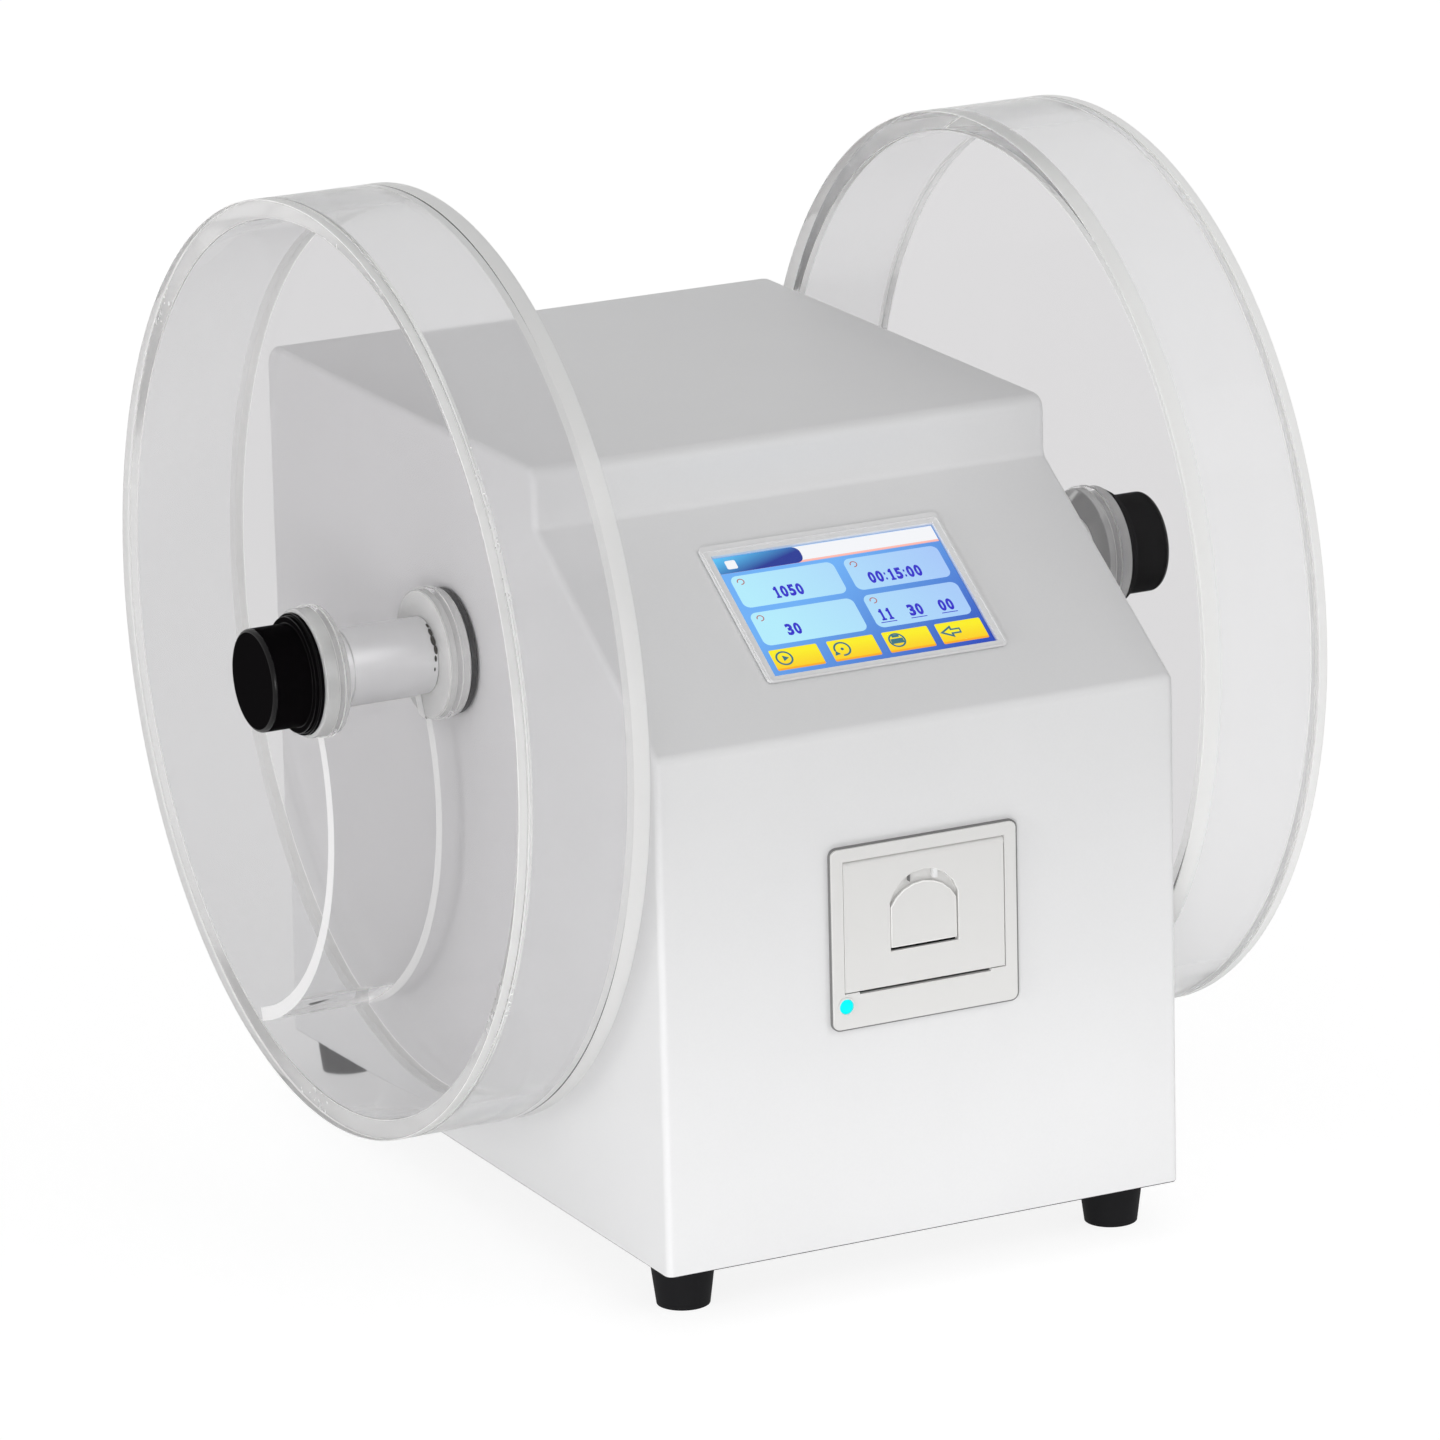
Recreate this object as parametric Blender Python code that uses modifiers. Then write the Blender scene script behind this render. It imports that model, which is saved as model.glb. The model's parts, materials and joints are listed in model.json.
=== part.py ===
"""Tablet friability tester: two clear drums on one driven shaft through a sloped sheet-metal case.

The drum axis runs along X, the screen and printer face -Y, and Z points up. The origin lies on the
floor under the middle of the drum axis. All values are metres.
"""
import math

import bmesh
import bpy
from mathutils import Matrix, Vector

MM = 0.001
OBJECT_NAME = "friability_tester"
LEFT, RIGHT = -1, 1
SIDE_NAMES = {LEFT: "left", RIGHT: "right"}

# Fits that every piece shares
SEAT_GAP = 0.3 * MM
RUNNING_GAP = 0.1 * MM
CUT_OVERRUN = 3 * MM
WELD = 0.001 * MM
FLAT_LIMIT = math.radians(1)
SHARP_LIMIT = math.radians(60)

# Facets
DRUM_SIDES = 96
HUB_SIDES = 36
SMALL_SIDES = 24
BEND_STEPS = 4
BAFFLE_STEPS = 22

# Case of bent and welded sheet, with its feet
CASE_WIDTH = 180 * MM
CASE_DEPTH = 276 * MM
CASE_HEIGHT = 238 * MM
SHEET = 1.5 * MM
BROW_HEIGHT = 19 * MM
SLOPE_RUN = 80.5 * MM
SLOPE_DROP = 54 * MM
ROOF_BACK_BEND = 7 * MM
ROOF_FRONT_BEND = 5 * MM
BROW_BEND = 3 * MM
SILL_BEND = 4 * MM
SIDE_EDGE_RADIUS = 2.2 * MM
REAR_FLANGE = 16 * MM
FOOT_HEIGHT = 16 * MM
FOOT_TOP_RADIUS = 10.3 * MM
FOOT_TIP_RADIUS = 8.4 * MM
FOOT_EDGE = 1.6 * MM
FOOT_SCREW_RADIUS = 3.6 * MM
FOOT_SCREW_DEPTH = 6 * MM
FOOT_INSET_X = 14.2 * MM
FOOT_INSET_FRONT = 18.8 * MM
FOOT_INSET_REAR = 12.5 * MM
TRAY_FLANGE = 12 * MM

# Drum axis in the case
AXLE_ABOVE_BASE = 167 * MM
AXLE_TO_FRONT = 139.5 * MM

# Drum, the same on both sides
DRUM_RADIUS = 148.5 * MM
RING_WALL = 6.5 * MM
CHAMBER_DEPTH = 38 * MM
PLATE = 3 * MM
DRUM_STANDOFF = 6 * MM
BAFFLE_RADIUS = 80.5 * MM
BAFFLE_THICKNESS = 4.5 * MM
BAFFLE_CENTRE_DISTANCE = 91.2 * MM
BAFFLE_CENTRE_DIRECTION = math.radians(-33.5)
BOSS_RADIUS = 20.5 * MM
HUB_BOSS_PROUD = 3 * MM
COVER_BOSS_PROUD = 4 * MM
BOSS_INSIDE = 2 * MM
HUB_TUBE_RADIUS = 12.25 * MM
HUB_TUBE_STEP = 0.7 * MM
HUB_TUBE_STEP_LENGTH = 5 * MM
WASHER_RADIUS = 20 * MM
WASHER_THICKNESS = 2 * MM
KNOB_FLANGE_RADIUS = 19.4 * MM
KNOB_FLANGE = 2.8 * MM
KNOB_RADIUS = 16.4 * MM
KNOB_LENGTH = 16 * MM
KNOB_EDGE = 1.2 * MM
KNOB_BORE_SPARE = 0.7 * MM

# Shaft, bearings and gear train
SHAFT_RADIUS = 7.5 * MM
THREAD_RADIUS = 5 * MM
THREAD_LENGTH = 13 * MM
THREAD_CHAMFER = 1 * MM
BEARING_RADIUS = 14 * MM
BEARING_WIDTH = 9 * MM
BLOCK_FLANGE_RADIUS = 25 * MM
BLOCK_FLANGE = 4 * MM
BLOCK_RADIUS = 18.5 * MM
BLOCK_SHOULDER_RADIUS = 10 * MM
BLOCK_NOSE_RADIUS = 12.5 * MM
COLLAR_RADIUS = 12.5 * MM
COLLAR_WIDTH = 7 * MM
GEAR_MODULE = 1.25 * MM
GEAR_TEETH = 48
PINION_TEETH = 16
PRESSURE_ANGLE = math.radians(20)
GEAR_BACKLASH = 0.4 * MM
ADDENDUM_SHARE = 0.95
DEDENDUM_SHARE = 1.25
GEAR_WIDTH = 8 * MM
GEAR_HUB_RADIUS = 14 * MM
GEAR_HUB_LENGTH = 9 * MM
GEAR_WINDOW_RADIUS = 4.5 * MM
GEAR_WINDOWS = 6
GEAR_FROM_MIDDLE = 30 * MM
PINION_DIRECTION = math.radians(-50)
PINION_PLAY = 0.15 * MM
MOTOR_SHAFT_RADIUS = 4 * MM
MOTOR_SHAFT_ENGAGE = 10 * MM
MOTOR_TO_GEAR = 15 * MM
GEARBOX_RADIUS = 25 * MM
GEARBOX_LENGTH = 24 * MM
MOTOR_RADIUS = 21 * MM
MOTOR_LENGTH = 42 * MM
MOTOR_EDGE = 2 * MM
BRACKET_SHEET = 2.5 * MM
BRACKET_WIDTH = 46 * MM
BRACKET_FOOT = 36 * MM
BRACKET_SHAFT_CLEARANCE = 4 * MM
BRACKET_BORE_CLEARANCE = 3 * MM

# Screen on the slope
SCREEN_WIDTH = 83.4 * MM
SCREEN_HEIGHT = 56.7 * MM
SCREEN_DOWN_SLOPE = 46.2 * MM
VIEW_WIDTH = 77.6 * MM
VIEW_HEIGHT = 50.5 * MM
VIEW_LOWERED = 1.2 * MM
BEZEL_LIP = 1 * MM
BEZEL_CORNER = 1.6 * MM
BEZEL_SLEEVE_WALL = 1 * MM
BEZEL_DEPTH = 3.5 * MM
SCREEN_RECESS = 0.9 * MM
SCREEN_GLASS = 1.1 * MM
MODULE_MARGIN = 1.5 * MM
MODULE_DEPTH = 5 * MM
BOARD = 1.6 * MM
DISPLAY_BOARD_MARGIN = 3 * MM
CHIP_HEIGHT = 3 * MM
CHIP_WIDTH = 16 * MM
SOCKET_HEIGHT = 9 * MM
SOCKET_DEPTH = 7 * MM
DISPLAY_CHIP_SHARES = (-0.33, 0, 0.33)

# Panel printer on the front
PRINTER_WIDTH = 64.3 * MM
PRINTER_HEIGHT = 57.7 * MM
PRINTER_ABOVE_BASE = 99.2 * MM
PRINTER_CORNER = 2.2 * MM
PRINTER_FLANGE = 1.8 * MM
DOOR_WIDTH = 55.8 * MM
DOOR_HEIGHT = 41.8 * MM
DOOR_BELOW_TOP = 4.4 * MM
DOOR_PANEL = 3.4 * MM
DOOR_RECESS = 0.2 * MM
DOOR_PIN_RADIUS = 1.3 * MM
DOOR_PIN_LENGTH = 1.5 * MM
DOOR_EAR = 2 * MM
DOOR_EAR_DEPTH = 8 * MM
DOOR_EAR_HEIGHT = 8 * MM
DOOR_EAR_RAISED = 3.2 * MM
SLIT_WIDTH = 46 * MM
SLIT_HEIGHT = 1 * MM
BUCKET_WALL = 1.5 * MM
BUCKET_DEPTH = 58 * MM
BUCKET_BELOW_DOOR = 5 * MM
LEVER_WIDTH = 23 * MM
LEVER_HEIGHT = 20 * MM
LEVER_ARCH = 7 * MM
LEVER_THICKNESS = 1.4 * MM
LEVER_BELOW_TOP = 30 * MM
LEVER_POCKET_DEPTH = 2 * MM
LEVER_SCOOP = 4 * MM
LEVER_CLEARANCE = 0.4 * MM
LEVER_PULL_GAP = 0.9 * MM
LAMP_RADIUS = 2.25 * MM
LAMP_LENGTH = 3 * MM
LAMP_DOME = 0.5 * MM
LAMP_DOME_SHARES = ((0, 1), (0.5, 0.8), (1, 0))
LAMP_FROM_EDGE = 4.4 * MM
LAMP_FROM_BOTTOM = 7.3 * MM
PLATEN_RADIUS = 4 * MM
PLATEN_SPINDLE_RADIUS = 1.8 * MM
PLATEN_BEHIND_DOOR = 5 * MM
PRINT_HEAD = 3 * MM
PRINT_HEAD_HEIGHT = 13 * MM
PAPER_ROLL_RADIUS = 17.5 * MM
PAPER_ROLL_WIDTH = 44 * MM
PAPER_CORE_RADIUS = 6 * MM
ROLL_FROM_BACK = 4 * MM

# Power and control
REAR_PANEL_MARGIN = 4 * MM
REAR_PANEL_CORNER = 4 * MM
VENT_ROWS = 9
VENT_COLUMNS = 2
VENT_LENGTH = 40 * MM
VENT_HEIGHT = 3.6 * MM
VENT_PITCH = 9 * MM
VENT_COLUMN_PITCH = 56 * MM
VENTS_BELOW_TOP = 26 * MM
INLET_WIDTH = 30.7 * MM
INLET_HEIGHT = 23.7 * MM
INLET_LIP = 2.4 * MM
INLET_LIP_OVERLAP = 1.7 * MM
INLET_DEPTH = 22 * MM
INLET_POCKET_WIDTH = 24.2 * MM
INLET_POCKET_HEIGHT = 16.2 * MM
INLET_POCKET_CORNER = 4.5 * MM
INLET_POCKET_DEPTH = 16 * MM
INLET_PIN_LENGTH = 10 * MM
INLET_PIN_WIDTH = 2 * MM
INLET_PIN_HEIGHT = 4 * MM
INLET_PIN_PITCH = 7 * MM
INLET_CORNER = 3 * MM
INLET_FROM_SIDE = 34 * MM
INLET_FROM_BOTTOM = 26 * MM
SWITCH_FROM_INLET = 34 * MM
SWITCH_WIDTH = 15 * MM
SWITCH_HEIGHT = 21 * MM
SWITCH_DEPTH = 14 * MM
SWITCH_WALL = 1.6 * MM
SWITCH_CORNER = 1.5 * MM
ROCKER_THICKNESS = 6 * MM
ROCKER_CROWN = 2 * MM
ROCKER_SUNK = 4.5 * MM
ROCKER_CLEARANCE = 0.9 * MM
SUPPLY_FROM_INLET = 2.6 * MM
SUPPLY_FROM_BRACKET = 9.7 * MM
SUPPLY_HEIGHT = 34 * MM
SUPPLY_CORNER = 1.5 * MM
SUPPLY_FROM_LEFT = 14 * MM
SUPPLY_FROM_BACK = 16 * MM
CONTROL_LENGTH = 110 * MM
CONTROL_WIDTH = 70 * MM
CONTROL_STANDOFF = 8 * MM
CONTROL_POST_RADIUS = 3 * MM
CONTROL_POST_INSET = 6 * MM
CONTROL_FROM_FRONT = 18 * MM
CONTROL_PART_SHARES = ((-0.36, 0.33), (-0.12, 0.66), (0.12, 0.33), (0.36, 0.66), (0.36, 0.27))

# Places worked out from the sizes above
CASE_FRONT = -AXLE_TO_FRONT
CASE_BACK = CASE_FRONT + CASE_DEPTH
CASE_BOTTOM = FOOT_HEIGHT
CASE_TOP = CASE_BOTTOM + CASE_HEIGHT
CASE_SIDE = CASE_WIDTH / 2
BROW_FRONT = CASE_FRONT + SLOPE_RUN
BROW_BOTTOM = CASE_TOP - BROW_HEIGHT
SILL_TOP = BROW_BOTTOM - SLOPE_DROP
SLOPE_ANGLE = math.atan2(SLOPE_DROP, SLOPE_RUN)
TRAY_FLOOR = CASE_BOTTOM + SHEET
AXLE = Vector((0, 0, CASE_BOTTOM + AXLE_ABOVE_BASE))
DRUM_BACK = CASE_SIDE + DRUM_STANDOFF
CHAMBER_START = DRUM_BACK + PLATE
CHAMBER_END = CHAMBER_START + CHAMBER_DEPTH
COVER_FACE = CHAMBER_END + PLATE
COVER_BOSS_FACE = COVER_FACE + COVER_BOSS_PROUD
CHAMBER_RADIUS = DRUM_RADIUS - RING_WALL
SHAFT_BORE = SHAFT_RADIUS + SEAT_GAP
THREAD_BORE = THREAD_RADIUS + SEAT_GAP
BLOCK_BACK = CASE_SIDE - SHEET - SEAT_GAP
BLOCK_FRONT = BLOCK_BACK - BLOCK_FLANGE - BEARING_WIDTH - 2 * SEAT_GAP
GEAR_CENTRES = GEAR_MODULE * (GEAR_TEETH + PINION_TEETH) / 2 + PINION_PLAY
PINION_AXIS = AXLE + GEAR_CENTRES * Vector((0, math.cos(PINION_DIRECTION), math.sin(PINION_DIRECTION)))
MOTOR_FACE = GEAR_FROM_MIDDLE - MOTOR_TO_GEAR
PRINTER_MIDDLE = CASE_BOTTOM + PRINTER_ABOVE_BASE
DOOR_TOP = PRINTER_MIDDLE + PRINTER_HEIGHT / 2 - DOOR_BELOW_TOP
DOOR_BOTTOM = DOOR_TOP - DOOR_HEIGHT
PRINTER_FACE = CASE_FRONT - SEAT_GAP - PRINTER_FLANGE
DOOR_FACE = PRINTER_FACE + DOOR_RECESS
DOOR_BACK = DOOR_FACE + DOOR_PANEL
DOOR_HINGE = Vector((0, DOOR_FACE + DOOR_PIN_RADIUS + SEAT_GAP, DOOR_TOP - DOOR_PIN_RADIUS - SEAT_GAP))
LEVER_BOTTOM = DOOR_TOP - LEVER_BELOW_TOP
BUCKET_FLOOR = DOOR_BOTTOM - BUCKET_BELOW_DOOR
BUCKET_CEILING = DOOR_TOP + SEAT_GAP
BUCKET_HALF_WIDTH = DOOR_WIDTH / 2 + SEAT_GAP
BUCKET_BACK = CASE_FRONT + BUCKET_DEPTH
PLATEN_AXIS = Vector((0, DOOR_BACK + PLATEN_BEHIND_DOOR,
                      DOOR_BOTTOM + DOOR_EAR_RAISED + DOOR_EAR_HEIGHT / 2))
ROLL_AXIS = Vector((0, BUCKET_BACK - BUCKET_WALL - ROLL_FROM_BACK - PAPER_ROLL_RADIUS,
                    BUCKET_FLOOR + SEAT_GAP + PAPER_ROLL_RADIUS))
REAR_FACE = CASE_BACK + SEAT_GAP + SHEET
REAR_WINDOW_BOTTOM = CASE_BOTTOM + REAR_FLANGE
REAR_WINDOW_TOP = CASE_TOP - REAR_FLANGE
INLET_AT = Vector((CASE_SIDE - INLET_FROM_SIDE - REAR_FLANGE, REAR_FACE,
                   REAR_WINDOW_BOTTOM + INLET_FROM_BOTTOM))
SWITCH_AT = INLET_AT - Vector((SWITCH_FROM_INLET, 0, 0))

# Which way a flat or turned piece faces
UPRIGHT = Matrix.Identity(4)
ACROSS = Matrix.Rotation(math.radians(90), 4, "Z") @ Matrix.Rotation(math.radians(90), 4, "X")
TO_FRONT = Matrix.Rotation(math.radians(90), 4, "X")
TO_BACK = Matrix.Rotation(math.radians(180), 4, "Z") @ TO_FRONT
ON_SLOPE = Matrix.Rotation(SLOPE_ANGLE, 4, "X")
OUTWARD = {side: Matrix.Rotation(side * math.radians(90), 4, "Y") for side in (LEFT, RIGHT)}

# Colour, roughness, metallic and transmission of each finish
FINISHES = {
    "white_powder_coat": ((0.72, 0.72, 0.73), 0.55, 0.0, 0.0),
    "grey_plate": ((0.62, 0.63, 0.64), 0.5, 0.0, 0.0),
    "zinc_plate": ((0.6, 0.61, 0.62), 0.4, 0.9, 0.0),
    "black_rubber": ((0.025, 0.027, 0.03), 0.7, 0.0, 0.0),
    "clear_acrylic": ((0.95, 0.97, 0.98), 0.04, 0.0, 0.9),
    "milky_acrylic": ((0.88, 0.89, 0.87), 0.12, 0.0, 0.6),
    "turned_aluminium": ((0.8, 0.8, 0.81), 0.22, 1.0, 0.0),
    "steel": ((0.55, 0.56, 0.58), 0.3, 1.0, 0.0),
    "brass": ((0.72, 0.55, 0.25), 0.35, 1.0, 0.0),
    "black_plastic": ((0.02, 0.02, 0.022), 0.32, 0.0, 0.0),
    "light_plastic": ((0.76, 0.75, 0.72), 0.5, 0.0, 0.0),
    "screen_glass": ((0.05, 0.12, 0.35), 0.08, 0.0, 0.0),
    "circuit_board": ((0.03, 0.2, 0.09), 0.45, 0.0, 0.0),
    "cyan_lens": ((0.05, 0.8, 0.8), 0.2, 0.0, 0.0),
    "paper": ((0.88, 0.88, 0.86), 0.9, 0.0, 0.0),
    "platen_rubber": ((0.06, 0.06, 0.06), 0.8, 0.0, 0.0),
}


def clear_scene():
    """Remove every object, so that the build starts empty."""
    for existing in list(bpy.data.objects):
        bpy.data.objects.remove(existing, do_unlink=True)


def collection(name):
    """Return a new collection linked to the scene."""
    made = bpy.data.collections.new(name)
    bpy.context.scene.collection.children.link(made)
    return made


def own_material(name, finish_name):
    """Return a new material for one piece, with the values of its finish."""
    colour, roughness, metallic, transmission = FINISHES[finish_name]
    material = bpy.data.materials.new(name)
    material.use_nodes = True
    shader = material.node_tree.nodes["Principled BSDF"]
    shader.inputs["Base Color"].default_value = (*colour, 1)
    shader.inputs["Roughness"].default_value = roughness
    shader.inputs["Metallic"].default_value = metallic
    shader.inputs["Transmission Weight"].default_value = transmission
    return material


def place_part(name, mesh, finish_name, place, turn=UPRIGHT):
    """Link a mesh as a named piece at the given place; cutters have no finish."""
    part = bpy.data.objects.new(name, mesh)
    PARTS.objects.link(part)
    part.matrix_world = Matrix.Translation(place) @ turn
    mesh.materials.clear()
    if finish_name:
        mesh.materials.append(own_material(name, finish_name))
    return part


def as_helper(part):
    """Turn a piece into a hidden shape that cuts or joins another."""
    PARTS.objects.unlink(part)
    HELPERS.objects.link(part)
    part.hide_render = True
    part.display_type = "WIRE"
    return part


def combine(part, helper, operation):
    """Join a helper to a piece, or cut it away."""
    modifier = part.modifiers.new(operation.lower(), "BOOLEAN")
    modifier.operation = operation
    modifier.solver = "EXACT"
    modifier.object = as_helper(helper)
    return part


def filleted(corners, radii, steps=BEND_STEPS):
    """Round each corner of an outline by its radius, where that isn't zero."""
    points = []
    for index, (corner, radius) in enumerate(zip(corners, radii)):
        here = Vector(corner)
        if not radius:
            points.append(tuple(here))
            continue
        before = (Vector(corners[index - 1]) - here).normalized()
        after = (Vector(corners[(index + 1) % len(corners)]) - here).normalized()
        half = before.angle(after) / 2
        centre = here + (before + after).normalized() * (radius / math.sin(half))
        start = here + before * (radius / math.tan(half)) - centre
        sweep = math.pi - 2 * half
        if before.x * after.y - before.y * after.x > 0:
            sweep = -sweep
        for step in range(steps + 1):
            points.append(tuple(centre + Matrix.Rotation(sweep * step / steps, 2) @ start))
    return points


def rectangle(width, height, radius=0.0, centre=(0, 0)):
    """Outline of a rectangle with rounded corners."""
    across, up = width / 2, height / 2
    corners = [(centre[0] + sign_x * across, centre[1] + sign_y * up)
               for sign_x, sign_y in ((1, 1), (-1, 1), (-1, -1), (1, -1))]
    return filleted(corners, [radius] * 4)


def circle(radius, sides=HUB_SIDES, centre=(0, 0)):
    """Outline of a circle as an even polygon."""
    return [(centre[0] + radius * math.cos(2 * math.pi * k / sides),
             centre[1] + radius * math.sin(2 * math.pi * k / sides)) for k in range(sides)]


def plate_mesh(name, outlines, thickness):
    """Thicken a flat outline, whose further outlines are holes, evenly about its plane."""
    curve = bpy.data.curves.new(name, "CURVE")
    curve.dimensions = "2D"
    curve.fill_mode = "BOTH"
    curve.extrude = thickness / 2
    for outline in outlines:
        spline = curve.splines.new("POLY")
        spline.points.add(len(outline) - 1)
        for point, (x, y) in zip(spline.points, outline):
            point.co = (x, y, 0, 1)
        spline.use_cyclic_u = True
    guide = bpy.data.objects.new(name, curve)
    HELPERS.objects.link(guide)
    bpy.context.view_layer.update()
    mesh = bpy.data.meshes.new_from_object(guide.evaluated_get(bpy.context.evaluated_depsgraph_get()))
    bpy.data.objects.remove(guide, do_unlink=True)
    bpy.data.curves.remove(curve)
    shape = bmesh.new()
    shape.from_mesh(mesh)
    bmesh.ops.remove_doubles(shape, verts=shape.verts, dist=WELD)
    bmesh.ops.recalc_face_normals(shape, faces=shape.faces)
    shape.to_mesh(mesh)
    shape.free()
    mesh.name = name
    return mesh


def plate(name, outlines, start, end, finish_name, place, turn=UPRIGHT):
    """A flat piece that fills its outline from start to end along its own Z."""
    mesh = plate_mesh(name, outlines, abs(end - start))
    mesh.transform(Matrix.Translation((0, 0, (start + end) / 2)))
    return place_part(name, mesh, finish_name, place, turn)


def turned(name, profile, finish_name, place, turn=UPRIGHT, sides=HUB_SIDES, ring=True):
    """A piece turned about its own Z from (radius, height) points, outer side top to bottom."""
    mesh = bpy.data.meshes.new(name)
    shape = bmesh.new()
    corners = [shape.verts.new((radius, 0, height)) for radius, height in profile]
    for first, second in zip(corners, corners[1:] + corners[:1] if ring else corners[1:]):
        shape.edges.new((first, second))
    shape.to_mesh(mesh)
    shape.free()
    part = place_part(name, mesh, finish_name, place, turn)
    screw = part.modifiers.new("turn", "SCREW")
    screw.axis = "Z"
    screw.steps = sides
    screw.render_steps = sides
    screw.use_merge_vertices = True
    screw.merge_threshold = WELD
    screw.use_smooth_shade = True
    return part


def ring_part(name, outer, inner, start, end, finish_name, place, turn, sides=HUB_SIDES):
    """A plain turned ring between two heights."""
    profile = [(inner, end), (outer, end), (outer, start), (inner, start)]
    return turned(name, profile, finish_name, place, turn, sides)


def rod_part(name, radius, start, end, finish_name, place, turn, sides=SMALL_SIDES):
    """A plain round rod between two heights."""
    profile = [(0, end), (radius, end), (radius, start), (0, start)]
    return turned(name, profile, finish_name, place, turn, sides, ring=False)


def box(name, low, high, finish_name, place=(0, 0, 0), turn=UPRIGHT):
    """A block between two corners in its own frame."""
    low, high = Vector(low), Vector(high)
    shape = bmesh.new()
    bmesh.ops.create_cube(shape, size=1)
    size = high - low
    bmesh.ops.transform(shape, verts=shape.verts,
                        matrix=Matrix.Translation((low + high) / 2) @ Matrix.Diagonal((*size, 1)))
    mesh = bpy.data.meshes.new(name)
    shape.to_mesh(mesh)
    shape.free()
    return place_part(name, mesh, finish_name, place, turn)


def soften(part, radius, steps=2):
    """Round the sharp edges of a piece."""
    bevel = part.modifiers.new("edges", "BEVEL")
    bevel.width = radius
    bevel.segments = steps
    bevel.limit_method = "ANGLE"
    bevel.angle_limit = SHARP_LIMIT
    return part


def slope_place(down=0.0, out=0.0):
    """A point on the middle line of the slope, measured down from the brow and out from the sheet."""
    along = Vector((0, -math.cos(SLOPE_ANGLE), -math.sin(SLOPE_ANGLE)))
    normal = Vector((0, -math.sin(SLOPE_ANGLE), math.cos(SLOPE_ANGLE)))
    return Vector((0, BROW_FRONT, BROW_BOTTOM)) + along * down + normal * out


def side_outline():
    """Side view of the case, in Y and Z."""
    corners = [(CASE_BACK, CASE_BOTTOM), (CASE_BACK, CASE_TOP), (BROW_FRONT, CASE_TOP),
               (BROW_FRONT, BROW_BOTTOM), (CASE_FRONT, SILL_TOP), (CASE_FRONT, CASE_BOTTOM)]
    return filleted(corners, [0, ROOF_BACK_BEND, ROOF_FRONT_BEND, BROW_BEND, SILL_BEND, 0])


def case_shell():
    """Bent front, slope and roof with welded sides, open below and at the back."""
    mesh = plate_mesh("case_shell", [side_outline()], CASE_WIDTH)
    shape = bmesh.new()
    shape.from_mesh(mesh)
    bmesh.ops.dissolve_limit(shape, angle_limit=FLAT_LIMIT, verts=shape.verts, edges=shape.edges)
    below = [face for face in shape.faces if face.calc_center_median().y < CASE_BOTTOM + WELD]
    bmesh.ops.delete(shape, geom=below, context="FACES_ONLY")
    shape.to_mesh(mesh)
    shape.free()
    shell = place_part("case_shell", mesh, "white_powder_coat", (0, 0, 0), ACROSS)
    soften(shell, SIDE_EDGE_RADIUS, BEND_STEPS)
    wall = shell.modifiers.new("sheet", "SOLIDIFY")
    wall.thickness = SHEET
    wall.offset = -1
    wall.use_even_offset = True
    across = CASE_SIDE - REAR_FLANGE
    rear = box("rear_window", (-across, CASE_BACK - SHEET - CUT_OVERRUN, REAR_WINDOW_BOTTOM),
               (across, CASE_BACK + CUT_OVERRUN, REAR_WINDOW_TOP), None)
    combine(shell, rear, "DIFFERENCE")
    combine(shell, screen_window(), "DIFFERENCE")
    combine(shell, printer_window(), "DIFFERENCE")
    reach = CASE_SIDE + CUT_OVERRUN
    bore = rod_part("shaft_bore", BLOCK_NOSE_RADIUS + SEAT_GAP, -reach, reach, None, AXLE,
                    OUTWARD[RIGHT], HUB_SIDES)
    combine(shell, bore, "DIFFERENCE")
    return shell


def screen_window():
    """Cutter for the opening that the screen bezel passes through."""
    width = VIEW_WIDTH + 2 * BEZEL_SLEEVE_WALL + 2 * SEAT_GAP
    height = VIEW_HEIGHT + 2 * BEZEL_SLEEVE_WALL + 2 * SEAT_GAP
    outline = rectangle(width, height, centre=(0, -VIEW_LOWERED))
    return plate("screen_window", [outline], -SHEET - CUT_OVERRUN, CUT_OVERRUN, None,
                 slope_place(SCREEN_DOWN_SLOPE), ON_SLOPE)


def printer_window():
    """Cutter for the opening that the printer bucket passes through."""
    across = BUCKET_HALF_WIDTH + BUCKET_WALL + SEAT_GAP
    below = BUCKET_FLOOR - BUCKET_WALL - SEAT_GAP
    above = BUCKET_CEILING + BUCKET_WALL + SEAT_GAP
    return box("printer_window", (-across, CASE_FRONT - CUT_OVERRUN, below),
               (across, CASE_FRONT + SHEET + CUT_OVERRUN, above), None)


def base_tray():
    """Floor of the case with turned-up edges and the posts of the control board."""
    across = CASE_SIDE - SHEET - SEAT_GAP
    front = CASE_FRONT + SHEET + SEAT_GAP
    back = CASE_BACK - SHEET - SEAT_GAP
    tray = box("base_tray", (-across, front, CASE_BOTTOM), (across, back, CASE_BOTTOM + TRAY_FLANGE),
               "grey_plate")
    hollow = box("tray_hollow", (-across + SHEET, front + SHEET, TRAY_FLOOR),
                 (across - SHEET, back - SHEET, CASE_BOTTOM + TRAY_FLANGE + CUT_OVERRUN), None)
    combine(tray, hollow, "DIFFERENCE")
    for index, (x, y) in enumerate(control_posts()):
        post = rod_part(f"control_post_{index}", CONTROL_POST_RADIUS, CASE_BOTTOM + SHEET / 2,
                        TRAY_FLOOR + CONTROL_STANDOFF, None, (x, y, 0), UPRIGHT, SMALL_SIDES // 2)
        combine(tray, post, "UNION")
    return tray


def control_posts():
    """Places of the four posts under the control board."""
    across = CONTROL_LENGTH / 2 - CONTROL_POST_INSET
    front = CASE_FRONT + CONTROL_FROM_FRONT + CONTROL_POST_INSET
    back = CASE_FRONT + CONTROL_FROM_FRONT + CONTROL_WIDTH - CONTROL_POST_INSET
    return [(x, y) for x in (-across, across) for y in (front, back)]


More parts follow.
